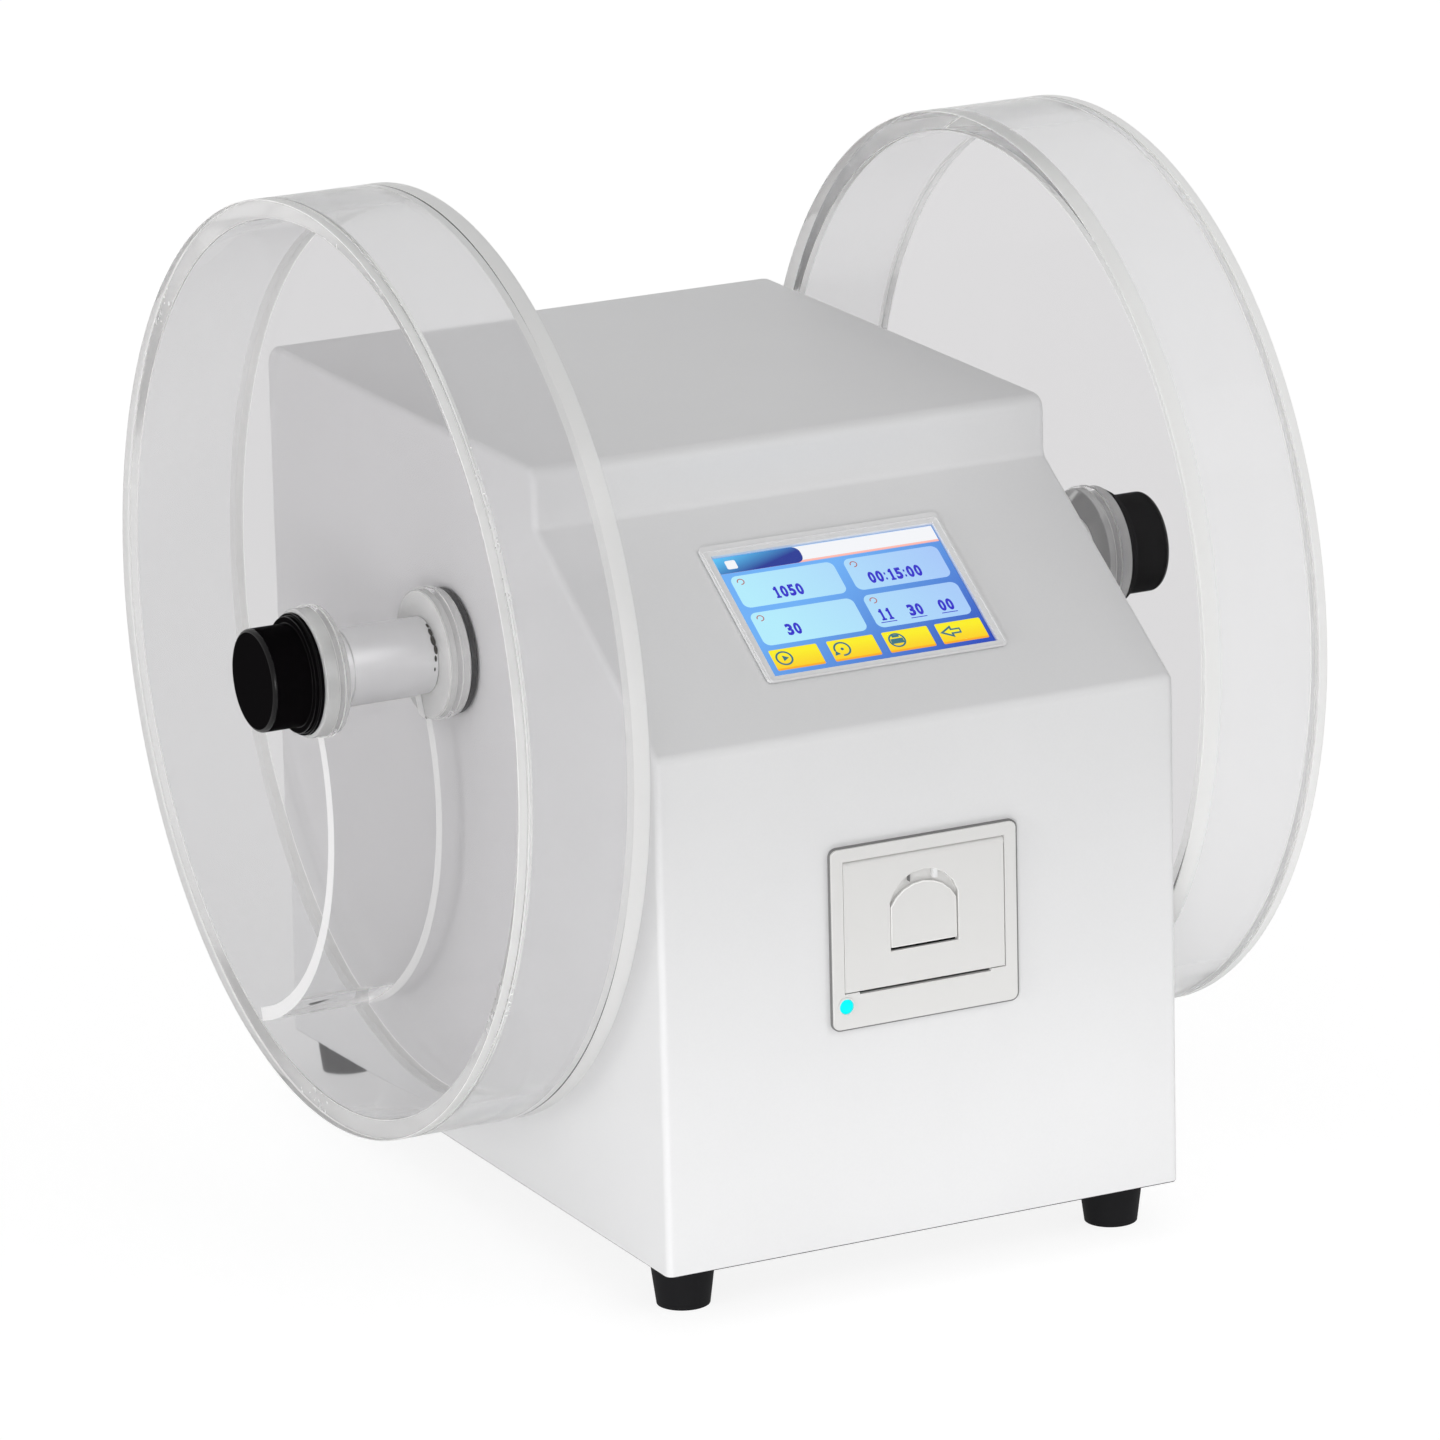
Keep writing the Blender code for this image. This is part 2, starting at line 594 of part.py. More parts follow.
def feet():
    """Four tapered rubber feet, each with the recess of its screw."""
    top = FOOT_HEIGHT - SEAT_GAP
    profile = [(0, top), (FOOT_TOP_RADIUS, top), (FOOT_TIP_RADIUS, FOOT_EDGE),
               (FOOT_TIP_RADIUS - FOOT_EDGE, 0), (FOOT_SCREW_RADIUS, 0),
               (FOOT_SCREW_RADIUS, FOOT_SCREW_DEPTH), (0, FOOT_SCREW_DEPTH)]
    rows = {"front": CASE_FRONT + FOOT_INSET_FRONT, "rear": CASE_BACK - FOOT_INSET_REAR}
    for row, y in rows.items():
        for side in (LEFT, RIGHT):
            turned(f"foot_{row}_{SIDE_NAMES[side]}", profile, "black_rubber",
                   (side * (CASE_SIDE - FOOT_INSET_X), y, 0), UPRIGHT, SMALL_SIDES, ring=False)


def rear_panel():
    """Screwed rear plate with cooling slots and the cut-outs of the inlet and the switch."""
    across = CASE_SIDE - REAR_PANEL_MARGIN
    low, high = CASE_BOTTOM + REAR_PANEL_MARGIN, CASE_TOP - REAR_PANEL_MARGIN - ROOF_BACK_BEND
    middle = (low + high) / 2
    outlines = [rectangle(2 * across, high - low, REAR_PANEL_CORNER)]
    for row in range(VENT_ROWS):
        for column in range(VENT_COLUMNS):
            x = (column - (VENT_COLUMNS - 1) / 2) * VENT_COLUMN_PITCH
            y = high - middle - VENTS_BELOW_TOP - row * VENT_PITCH
            outlines.append(slot(VENT_LENGTH, VENT_HEIGHT, (x, y)))
    outlines.append(rectangle(INLET_WIDTH + 2 * SEAT_GAP - 2 * INLET_LIP_OVERLAP,
                              INLET_HEIGHT + 2 * SEAT_GAP - 2 * INLET_LIP_OVERLAP,
                              centre=(-INLET_AT.x, INLET_AT.z - middle)))
    outlines.append(rectangle(SWITCH_WIDTH + 2 * SEAT_GAP - 2 * SWITCH_WALL,
                              SWITCH_HEIGHT + 2 * SEAT_GAP - 2 * SWITCH_WALL,
                              centre=(-SWITCH_AT.x, SWITCH_AT.z - middle)))
    plate("rear_panel", outlines, -SHEET, 0, "white_powder_coat", (0, REAR_FACE, middle), TO_BACK)


def slot(length, height, centre):
    """Outline of a slot with round ends."""
    radius = height / 2
    straight = length / 2 - radius
    points = []
    for end in (RIGHT, LEFT):
        for step in range(BEND_STEPS + 1):
            angle = math.pi * (step / BEND_STEPS - end / 2)
            points.append((centre[0] + end * straight + radius * math.cos(angle),
                           centre[1] + radius * math.sin(angle)))
    return points


def power_inlet():
    """Mains inlet with its three pins."""
    outline = rectangle(INLET_WIDTH, INLET_HEIGHT, INLET_CORNER)
    start = SEAT_GAP
    inlet = plate("power_inlet", [outline], start, start + INLET_LIP, "black_plastic", INLET_AT, TO_BACK)
    body = rectangle(INLET_WIDTH - 2 * INLET_LIP_OVERLAP, INLET_HEIGHT - 2 * INLET_LIP_OVERLAP)
    combine(inlet, plate("inlet_body", [body], start - INLET_DEPTH, start + INLET_LIP / 2, None,
                         INLET_AT, TO_BACK), "UNION")
    pocket = rectangle(INLET_POCKET_WIDTH, INLET_POCKET_HEIGHT, INLET_POCKET_CORNER)
    floor = start + INLET_LIP - INLET_POCKET_DEPTH
    combine(inlet, plate("inlet_pocket", [pocket], floor, start + INLET_LIP + CUT_OVERRUN, None,
                         INLET_AT, TO_BACK), "DIFFERENCE")
    for index, share in enumerate((-1, 0, 1)):
        x = share * INLET_PIN_PITCH
        z = INLET_PIN_WIDTH * (1 - abs(share))
        pin = rectangle(INLET_PIN_WIDTH, INLET_PIN_HEIGHT, centre=(x, z))
        combine(inlet, plate(f"inlet_pin_{index}", [pin], floor - INLET_PIN_WIDTH, floor + INLET_PIN_LENGTH,
                             None, INLET_AT, TO_BACK), "UNION")
    return inlet


def power_switch():
    """Rocker switch: a framed body and the rocker that tips in it."""
    outer = rectangle(SWITCH_WIDTH, SWITCH_HEIGHT, SWITCH_CORNER)
    start = SEAT_GAP
    face = start + SWITCH_WALL
    body = plate("switch_body", [outer], start, face, "black_plastic", SWITCH_AT, TO_BACK)
    inner_width, inner_height = SWITCH_WIDTH - 2 * SWITCH_WALL, SWITCH_HEIGHT - 2 * SWITCH_WALL
    stem = rectangle(inner_width, inner_height)
    combine(body, plate("switch_stem", [stem], start - SWITCH_DEPTH, start + SWITCH_WALL / 2, None,
                        SWITCH_AT, TO_BACK), "UNION")
    pocket = rectangle(inner_width - SWITCH_WALL, inner_height - SWITCH_WALL)
    depth = ROCKER_THICKNESS + ROCKER_SUNK
    combine(body, plate("switch_pocket", [pocket], face - depth, face + CUT_OVERRUN, None,
                        SWITCH_AT, TO_BACK), "DIFFERENCE")
    reach = (inner_height - SWITCH_WALL) / 2 - ROCKER_CLEARANCE
    tip = ROCKER_THICKNESS / 2
    corners = [(reach, tip + ROCKER_CROWN), (0, tip), (-reach, tip + ROCKER_CROWN),
               (-reach, 0), (0, -tip), (reach, 0)]
    half_width = (inner_width - SWITCH_WALL) / 2 - SEAT_GAP
    pivot = SWITCH_AT + Vector((0, face - tip, 0))
    plate("switch_rocker", [corners], -half_width, half_width, "black_plastic", pivot, OUTWARD[LEFT])


def drum(side):
    """Everything that one drum adds to the shaft, up to its cover."""
    name, out = SIDE_NAMES[side], OUTWARD[side]
    ring_part(f"drum_ring_{name}", DRUM_RADIUS, CHAMBER_RADIUS, CHAMBER_START + SEAT_GAP,
              CHAMBER_END - SEAT_GAP, "milky_acrylic", AXLE, out, DRUM_SIDES)
    plate(f"drum_back_{name}", [circle(DRUM_RADIUS, DRUM_SIDES), circle(BOSS_RADIUS + SEAT_GAP)],
          DRUM_BACK, CHAMBER_START, "clear_acrylic", AXLE, out)
    baffle(side)
    ring_part(f"hub_boss_{name}", BOSS_RADIUS, SHAFT_BORE, DRUM_BACK - HUB_BOSS_PROUD,
              CHAMBER_START + BOSS_INSIDE, "milky_acrylic", AXLE, out)
    ring_part(f"hub_washer_{name}", WASHER_RADIUS, SHAFT_BORE,
              DRUM_BACK - HUB_BOSS_PROUD - SEAT_GAP - WASHER_THICKNESS,
              DRUM_BACK - HUB_BOSS_PROUD - SEAT_GAP, "black_rubber", AXLE, out)
    start = CHAMBER_START + BOSS_INSIDE + SEAT_GAP
    end = CHAMBER_END - BOSS_INSIDE - SEAT_GAP
    step = end - HUB_TUBE_STEP_LENGTH
    neck = HUB_TUBE_RADIUS - HUB_TUBE_STEP
    tube = [(SHAFT_BORE, end), (neck, end), (neck, step), (HUB_TUBE_RADIUS, step),
            (HUB_TUBE_RADIUS, start), (SHAFT_BORE, start)]
    turned(f"hub_tube_{name}", tube, "turned_aluminium", AXLE, out)


def baffle(side):
    """Curved lifter across one drum, relieved round the two bosses."""
    name, out = SIDE_NAMES[side], OUTWARD[side]
    start, end = CHAMBER_START + SEAT_GAP, CHAMBER_END - SEAT_GAP
    strip = plate(f"drum_baffle_{name}", [baffle_outline()], side * start, side * end, "clear_acrylic", AXLE,
                  ACROSS)
    relief = BOSS_INSIDE + SEAT_GAP
    radius = BOSS_RADIUS + SEAT_GAP
    combine(strip, rod_part(f"inner_relief_{name}", radius, CHAMBER_START, CHAMBER_START + relief, None,
                            AXLE, out, HUB_SIDES), "DIFFERENCE")
    combine(strip, rod_part(f"outer_relief_{name}", radius, CHAMBER_END - relief, CHAMBER_END, None,
                            AXLE, out, HUB_SIDES), "DIFFERENCE")


def baffle_outline():
    """Strip along one arc, from the hub tube to the drum ring, in Y and Z about the axis."""
    half = BAFFLE_THICKNESS / 2
    centre = BAFFLE_CENTRE_DISTANCE * Vector((math.cos(BAFFLE_CENTRE_DIRECTION),
                                              math.sin(BAFFLE_CENTRE_DIRECTION)))
    first = arc_angle(centre, HUB_TUBE_RADIUS + SEAT_GAP + half)
    last = arc_angle(centre, CHAMBER_RADIUS - SEAT_GAP - half)
    sweep = (last - first) % (2 * math.pi)
    angles = [first + sweep * step / BAFFLE_STEPS for step in range(BAFFLE_STEPS + 1)]
    far = [arc_point(centre, BAFFLE_RADIUS + half, angle) for angle in angles]
    near = [arc_point(centre, BAFFLE_RADIUS - half, angle) for angle in reversed(angles)]
    return far + near


def arc_point(centre, radius, angle):
    """Point at a radius and an angle about a centre."""
    return (centre.x + radius * math.cos(angle), centre.y + radius * math.sin(angle))


def arc_angle(centre, reach):
    """Where the baffle's arc lies this far from the drum axis, as an angle about the arc's centre."""
    distance = centre.length
    turn = math.acos((reach ** 2 + distance ** 2 - BAFFLE_RADIUS ** 2) / (2 * reach * distance))
    direction = BAFFLE_CENTRE_DIRECTION - turn
    point = reach * Vector((math.cos(direction), math.sin(direction)))
    return math.atan2(point.y - centre.y, point.x - centre.x)


def cover(side):
    """The removable outer wall of one drum, with its boss, and the knob that holds it."""
    name, out = SIDE_NAMES[side], OUTWARD[side]
    plate(f"drum_cover_{name}", [circle(DRUM_RADIUS, DRUM_SIDES), circle(BOSS_RADIUS + SEAT_GAP)],
          CHAMBER_END, COVER_FACE, "clear_acrylic", AXLE, out)
    ring_part(f"cover_boss_{name}", BOSS_RADIUS, SHAFT_BORE, CHAMBER_END - BOSS_INSIDE, COVER_BOSS_FACE,
              "milky_acrylic", AXLE, out)
    start = COVER_BOSS_FACE + SEAT_GAP
    end = start + KNOB_LENGTH
    rim = start + KNOB_FLANGE
    bore = COVER_BOSS_FACE - SEAT_GAP + THREAD_LENGTH + KNOB_BORE_SPARE
    profile = [(0, end), (KNOB_RADIUS - KNOB_EDGE, end), (KNOB_RADIUS, end - KNOB_EDGE), (KNOB_RADIUS, rim),
               (KNOB_FLANGE_RADIUS - KNOB_EDGE / 2, rim), (KNOB_FLANGE_RADIUS, rim - KNOB_EDGE / 2),
               (KNOB_FLANGE_RADIUS, start), (THREAD_BORE, start), (THREAD_BORE, bore), (0, bore)]
    turned(f"knob_{name}", profile, "black_plastic", AXLE, out, ring=False)


def main_shaft():
    """One shaft through both drums, with a threaded end for each knob."""
    shoulder = COVER_BOSS_FACE - SEAT_GAP
    tip = shoulder + THREAD_LENGTH
    upper = [(0, tip), (THREAD_RADIUS - THREAD_CHAMFER, tip), (THREAD_RADIUS, tip - THREAD_CHAMFER),
             (THREAD_RADIUS, shoulder), (SHAFT_RADIUS, shoulder)]
    profile = upper + [(radius, -height) for radius, height in reversed(upper)]
    turned("main_shaft", profile, "steel", AXLE, OUTWARD[RIGHT], ring=False)


def bearings(side):
    """Bearing block on the inside of the case wall, its bearing, and the collar behind it."""
    name, out = SIDE_NAMES[side], OUTWARD[side]
    nose = CASE_SIDE + SEAT_GAP
    seat = BLOCK_BACK - BLOCK_FLANGE
    profile = [(BLOCK_SHOULDER_RADIUS, nose), (BLOCK_NOSE_RADIUS, nose), (BLOCK_NOSE_RADIUS, BLOCK_BACK),
               (BLOCK_FLANGE_RADIUS, BLOCK_BACK), (BLOCK_FLANGE_RADIUS, seat), (BLOCK_RADIUS, seat),
               (BLOCK_RADIUS, BLOCK_FRONT), (BEARING_RADIUS + SEAT_GAP, BLOCK_FRONT),
               (BEARING_RADIUS + SEAT_GAP, seat), (BLOCK_SHOULDER_RADIUS, seat)]
    turned(f"bearing_block_{name}", profile, "zinc_plate", AXLE, out, SMALL_SIDES)
    ring_part(f"shaft_bearing_{name}", BEARING_RADIUS, SHAFT_RADIUS + RUNNING_GAP,
              seat - SEAT_GAP - BEARING_WIDTH, seat - SEAT_GAP, "steel", AXLE, out)
    end = BLOCK_FRONT - SEAT_GAP
    ring_part(f"shaft_collar_{name}", COLLAR_RADIUS, SHAFT_BORE, end - COLLAR_WIDTH, end, "zinc_plate",
              AXLE, out, SMALL_SIDES)


def gear_outline(teeth, phase, steps):
    """Involute teeth about the origin, one of them centred on the phase angle."""
    pitch = teeth * GEAR_MODULE / 2
    base = pitch * math.cos(PRESSURE_ANGLE)
    tip = pitch + ADDENDUM_SHARE * GEAR_MODULE
    root = pitch - DEDENDUM_SHARE * GEAR_MODULE

    def spread(radius):
        slant = math.acos(base / max(radius, base))
        return math.tan(slant) - slant

    half = math.pi / (2 * teeth) - GEAR_BACKLASH / (4 * pitch) + spread(pitch)
    heights = [root + (tip - root) * step / steps for step in range(steps + 1)]
    flank = [(radius, half - spread(radius)) for radius in heights]
    points = []
    for tooth in range(teeth):
        middle = phase + 2 * math.pi * tooth / teeth
        rising = [(radius, middle - angle) for radius, angle in flank]
        falling = [(radius, middle + angle) for radius, angle in reversed(flank)]
        points += [(radius * math.cos(angle), radius * math.sin(angle)) for radius, angle in rising + falling]
    return points


def gear_train():
    """Gear on the main shaft, and the motor's pinion and shaft that drive it."""
    windows = [circle(GEAR_WINDOW_RADIUS, SMALL_SIDES // 2,
                      ((GEAR_HUB_RADIUS + GEAR_TEETH * GEAR_MODULE / 2) / 2 * math.cos(angle),
                       (GEAR_HUB_RADIUS + GEAR_TEETH * GEAR_MODULE / 2) / 2 * math.sin(angle)))
               for angle in (2 * math.pi * k / GEAR_WINDOWS for k in range(GEAR_WINDOWS))]
    gear = plate("shaft_gear", [gear_outline(GEAR_TEETH, PINION_DIRECTION, 1), circle(SHAFT_BORE)] + windows,
                 GEAR_FROM_MIDDLE, GEAR_FROM_MIDDLE + GEAR_WIDTH, "brass", AXLE, ACROSS)
    hub = ring_part("gear_hub", GEAR_HUB_RADIUS - GEAR_WINDOW_RADIUS, SHAFT_BORE,
                    GEAR_FROM_MIDDLE + GEAR_WIDTH / 2, GEAR_FROM_MIDDLE + GEAR_WIDTH + GEAR_HUB_LENGTH,
                    None, AXLE, OUTWARD[RIGHT])
    combine(gear, hub, "UNION")
    phase = PINION_DIRECTION + math.pi + math.pi / PINION_TEETH
    plate("drive_pinion", [gear_outline(PINION_TEETH, phase, 2),
                           circle(MOTOR_SHAFT_RADIUS + SEAT_GAP, SMALL_SIDES)],
          GEAR_FROM_MIDDLE, GEAR_FROM_MIDDLE + GEAR_WIDTH, "steel", PINION_AXIS, ACROSS)
    rod_part("motor_shaft", MOTOR_SHAFT_RADIUS, MOTOR_FACE - MOTOR_SHAFT_ENGAGE,
             GEAR_FROM_MIDDLE + GEAR_WIDTH, "steel", PINION_AXIS, OUTWARD[RIGHT])


def gear_motor():
    """Gear motor, bolted by its gearbox to a bent bracket that stands on the base tray."""
    face = MOTOR_FACE
    gearbox = face - GEARBOX_LENGTH
    end = gearbox - MOTOR_LENGTH
    bore = MOTOR_SHAFT_RADIUS + RUNNING_GAP
    bottom = face - MOTOR_SHAFT_ENGAGE - SEAT_GAP
    profile = [(0, bottom), (bore, bottom), (bore, face), (GEARBOX_RADIUS, face), (GEARBOX_RADIUS, gearbox),
               (MOTOR_RADIUS, gearbox), (MOTOR_RADIUS, end + MOTOR_EDGE), (MOTOR_RADIUS - MOTOR_EDGE, end),
               (0, end)]
    turned("gear_motor", profile, "zinc_plate", PINION_AXIS, OUTWARD[RIGHT], SMALL_SIDES, ring=False)
    near = face + SEAT_GAP
    far = near + BRACKET_SHEET
    foot = TRAY_FLOOR + SEAT_GAP
    top = AXLE.z - SHAFT_RADIUS - BRACKET_SHAFT_CLEARANCE
    corners = [(near, foot), (near + BRACKET_FOOT, foot), (near + BRACKET_FOOT, foot + BRACKET_SHEET),
               (far, foot + BRACKET_SHEET), (far, top), (near, top)]
    outline = filleted(corners, [BRACKET_SHEET / 2, 0, 0, BRACKET_SHEET / 2, 0, 0])
    bracket = plate("motor_bracket", [outline], -BRACKET_WIDTH / 2, BRACKET_WIDTH / 2, "zinc_plate",
                    (0, PINION_AXIS.y, 0), TO_FRONT)
    bore = rod_part("bracket_bore", MOTOR_SHAFT_RADIUS + BRACKET_BORE_CLEARANCE, near - CUT_OVERRUN,
                    far + CUT_OVERRUN, None, PINION_AXIS, OUTWARD[RIGHT])
    combine(bracket, bore, "DIFFERENCE")


def screen():
    """Bezel, glass, display module and its board, stacked through the slope."""
    place = slope_place(SCREEN_DOWN_SLOPE)
    lowered = (0, -VIEW_LOWERED)
    view = rectangle(VIEW_WIDTH, VIEW_HEIGHT, centre=lowered)
    sleeve = rectangle(VIEW_WIDTH + 2 * BEZEL_SLEEVE_WALL, VIEW_HEIGHT + 2 * BEZEL_SLEEVE_WALL,
                       centre=lowered)
    lip = rectangle(SCREEN_WIDTH, SCREEN_HEIGHT, BEZEL_CORNER)
    face = SEAT_GAP + BEZEL_LIP
    bezel = plate("screen_bezel", [lip, view], SEAT_GAP, face, "light_plastic", place, ON_SLOPE)
    combine(bezel, plate("bezel_sleeve", [sleeve, view], -BEZEL_DEPTH, face - BEZEL_LIP / 2, None, place,
                         ON_SLOPE), "UNION")
    top = face - SCREEN_RECESS
    glass = rectangle(VIEW_WIDTH - 2 * SEAT_GAP, VIEW_HEIGHT - 2 * SEAT_GAP, centre=lowered)
    plate("screen_glass", [glass], top - SCREEN_GLASS, top, "screen_glass", place, ON_SLOPE)
    front = -BEZEL_DEPTH - SEAT_GAP
    width = VIEW_WIDTH + 2 * BEZEL_SLEEVE_WALL + 2 * MODULE_MARGIN
    height = VIEW_HEIGHT + 2 * BEZEL_SLEEVE_WALL + 2 * MODULE_MARGIN
    module = plate("display_module", [rectangle(width, height, centre=lowered)], front - MODULE_DEPTH, front,
                   "grey_plate", place, ON_SLOPE)
    riser = rectangle(VIEW_WIDTH - 4 * SEAT_GAP, VIEW_HEIGHT - 4 * SEAT_GAP, centre=lowered)
    combine(module, plate("module_riser", [riser], front - MODULE_DEPTH / 2, top - SCREEN_GLASS - SEAT_GAP,
                          None, place, ON_SLOPE), "UNION")
    front -= MODULE_DEPTH + SEAT_GAP
    half_width, half_height = width / 2 + DISPLAY_BOARD_MARGIN, height / 2
    board = box("display_board", (-half_width, -half_height - VIEW_LOWERED, front - BOARD),
                (half_width, half_height - VIEW_LOWERED, front), "circuit_board", place, ON_SLOPE)
    chips = [(CHIP_WIDTH, CHIP_WIDTH, CHIP_HEIGHT), (CHIP_WIDTH, CHIP_WIDTH / 2, CHIP_HEIGHT),
             (SOCKET_DEPTH, CHIP_WIDTH, SOCKET_HEIGHT)]
    for index, (share, size) in enumerate(zip(DISPLAY_CHIP_SHARES, chips)):
        across, along, rise = size
        x = share * width
        chip = box(f"display_chip_{index}", (x - across / 2, -along / 2, front - BOARD - rise),
                   (x + across / 2, along / 2, front - BOARD / 2), None, place, ON_SLOPE)
        combine(board, chip, "UNION")


def printer_frame():
    """Flange on the front panel in one piece with the paper bucket behind it."""
    middle = (0, 0, PRINTER_MIDDLE)
    back = CASE_FRONT - SEAT_GAP
    before, behind = PRINTER_FACE - CUT_OVERRUN, back + CUT_OVERRUN
    flange = plate("printer_frame", [rectangle(PRINTER_WIDTH, PRINTER_HEIGHT, PRINTER_CORNER)],
                   -back, -PRINTER_FACE, "light_plastic", middle, TO_FRONT)
    across = BUCKET_HALF_WIDTH + BUCKET_WALL
    combine(flange, box("bucket", (-across, back - PRINTER_FLANGE / 2, BUCKET_FLOOR - BUCKET_WALL),
                        (across, BUCKET_BACK, BUCKET_CEILING + BUCKET_WALL), None), "UNION")
    combine(flange, box("bucket_hollow", (-BUCKET_HALF_WIDTH, back, BUCKET_FLOOR),
                        (BUCKET_HALF_WIDTH, BUCKET_BACK - BUCKET_WALL, BUCKET_CEILING), None), "DIFFERENCE")
    combine(flange, box("door_opening", (-BUCKET_HALF_WIDTH, before, DOOR_BOTTOM - SEAT_GAP),
                        (BUCKET_HALF_WIDTH, behind, BUCKET_CEILING), None), "DIFFERENCE")
    combine(flange, box("paper_slit", (-SLIT_WIDTH / 2, before, DOOR_BOTTOM - SLIT_HEIGHT),
                        (SLIT_WIDTH / 2, behind, DOOR_BOTTOM + CUT_OVERRUN), None), "DIFFERENCE")
    pin = BUCKET_HALF_WIDTH + DOOR_PIN_LENGTH
    combine(flange, rod_part("hinge_bore", DOOR_PIN_RADIUS + RUNNING_GAP, -pin, pin, None,
                             DOOR_HINGE, OUTWARD[RIGHT]), "DIFFERENCE")
    combine(flange, rod_part("lamp_bore", LAMP_RADIUS + SEAT_GAP, -CASE_FRONT - LAMP_LENGTH, -before, None,
                             lamp_place(), TO_FRONT), "DIFFERENCE")
    return flange


def lamp_place():
    """The lamp's place across and up the front, at the drum axis in depth."""
    corner = Vector((-PRINTER_WIDTH / 2, 0, PRINTER_MIDDLE - PRINTER_HEIGHT / 2))
    return corner + Vector((LAMP_FROM_EDGE, 0, LAMP_FROM_BOTTOM))


def printer_lamp():
    """Lens of the printer's ready lamp, with a low dome."""
    face = -PRINTER_FACE
    dome = [(across * LAMP_RADIUS, face + up * LAMP_DOME) for across, up in LAMP_DOME_SHARES]
    profile = dome + [(LAMP_RADIUS, face - LAMP_LENGTH), (0, face - LAMP_LENGTH)]
    turned("printer_lamp", profile, "cyan_lens", lamp_place(), TO_FRONT, SMALL_SIDES, ring=False)


def arch(width, height, rise, centre_x=0.0, bottom=0.0):
    """Outline with a flat bottom and a top that arches up by the rise."""
    radius = (width ** 2 / 4 + rise ** 2) / (2 * rise)
    middle = bottom + height - radius
    spread = math.asin(width / 2 / radius)
    steps = 2 * BEND_STEPS
    top = [(centre_x + radius * math.sin(spread - 2 * spread * k / steps),
            middle + radius * math.cos(spread - 2 * spread * k / steps)) for k in range(steps + 1)]
    return top + [(centre_x - width / 2, bottom), (centre_x + width / 2, bottom)]


def printer_door():
    """Paper door with hinge pins along its top, platen ears behind, and the pocket of its lever."""
    hinge = DOOR_HINGE
    half = DOOR_WIDTH / 2
    low, high = DOOR_BOTTOM - hinge.z, DOOR_TOP - hinge.z
    face, back = DOOR_FACE - hinge.y, DOOR_BACK - hinge.y
    profile = filleted([(face, low), (back, low), (back, high), (face, high)],
                       [0, 0, 0, DOOR_PIN_RADIUS + SEAT_GAP])
    door = plate("printer_door", [profile], -half, half, "light_plastic", hinge, ACROSS)
    pins = half + DOOR_PIN_LENGTH
    combine(door, rod_part("door_pins", DOOR_PIN_RADIUS, -pins, pins, None, hinge, OUTWARD[RIGHT]), "UNION")
    ear_low = low + DOOR_EAR_RAISED
    for side in (LEFT, RIGHT):
        inner, outer = side * (half - DOOR_EAR), side * half
        ear = box(f"door_ear_{SIDE_NAMES[side]}", (min(inner, outer), back - DOOR_PANEL / 2, ear_low),
                  (max(inner, outer), back + DOOR_EAR_DEPTH, ear_low + DOOR_EAR_HEIGHT), None, hinge)
        combine(door, ear, "UNION")
    combine(door, rod_part("platen_bore", PLATEN_SPINDLE_RADIUS + RUNNING_GAP, -half - CUT_OVERRUN,
                           half + CUT_OVERRUN, None, PLATEN_AXIS, OUTWARD[RIGHT]), "DIFFERENCE")
    pocket = arch(LEVER_WIDTH + 2 * LEVER_CLEARANCE, LEVER_HEIGHT + LEVER_SCOOP + LEVER_PULL_GAP,
                  LEVER_ARCH + LEVER_SCOOP / 2, bottom=LEVER_BOTTOM - LEVER_PULL_GAP - hinge.z)
    combine(door, plate("lever_pocket", [pocket], -face - LEVER_POCKET_DEPTH, -face + CUT_OVERRUN, None,
                        hinge, TO_FRONT), "DIFFERENCE")
    return door


def door_lever():
    """Arched finger lever that lies in the pocket of the paper door."""
    pivot = Vector((0, DOOR_FACE + LEVER_POCKET_DEPTH - SEAT_GAP - LEVER_THICKNESS / 2,
                    LEVER_BOTTOM + LEVER_THICKNESS / 2))
    half = LEVER_THICKNESS / 2
    outline = arch(LEVER_WIDTH, LEVER_HEIGHT, LEVER_ARCH, bottom=-half)
    plate("door_lever", [outline], -half, half, "light_plastic", pivot, TO_FRONT)


def printer_inside():
    """Platen roller, print head and paper roll."""
    half = DOOR_WIDTH / 2 - DOOR_EAR - SEAT_GAP
    tip = DOOR_WIDTH / 2
    upper = [(0, tip), (PLATEN_SPINDLE_RADIUS, tip), (PLATEN_SPINDLE_RADIUS, half), (PLATEN_RADIUS, half)]
    profile = upper + [(radius, -height) for radius, height in reversed(upper)]
    turned("platen_roller", profile, "platen_rubber", PLATEN_AXIS, OUTWARD[RIGHT], SMALL_SIDES, ring=False)
    near = PLATEN_AXIS.y + PLATEN_RADIUS + SEAT_GAP
    floor = BUCKET_FLOOR + SEAT_GAP
    box("print_head", (-half, near, floor), (half, near + PRINT_HEAD, floor + PRINT_HEAD_HEIGHT),
        "black_plastic")
    ring_part("paper_roll", PAPER_ROLL_RADIUS, PAPER_CORE_RADIUS, -PAPER_ROLL_WIDTH / 2, PAPER_ROLL_WIDTH / 2,
              "paper", ROLL_AXIS, OUTWARD[RIGHT], SMALL_SIDES)


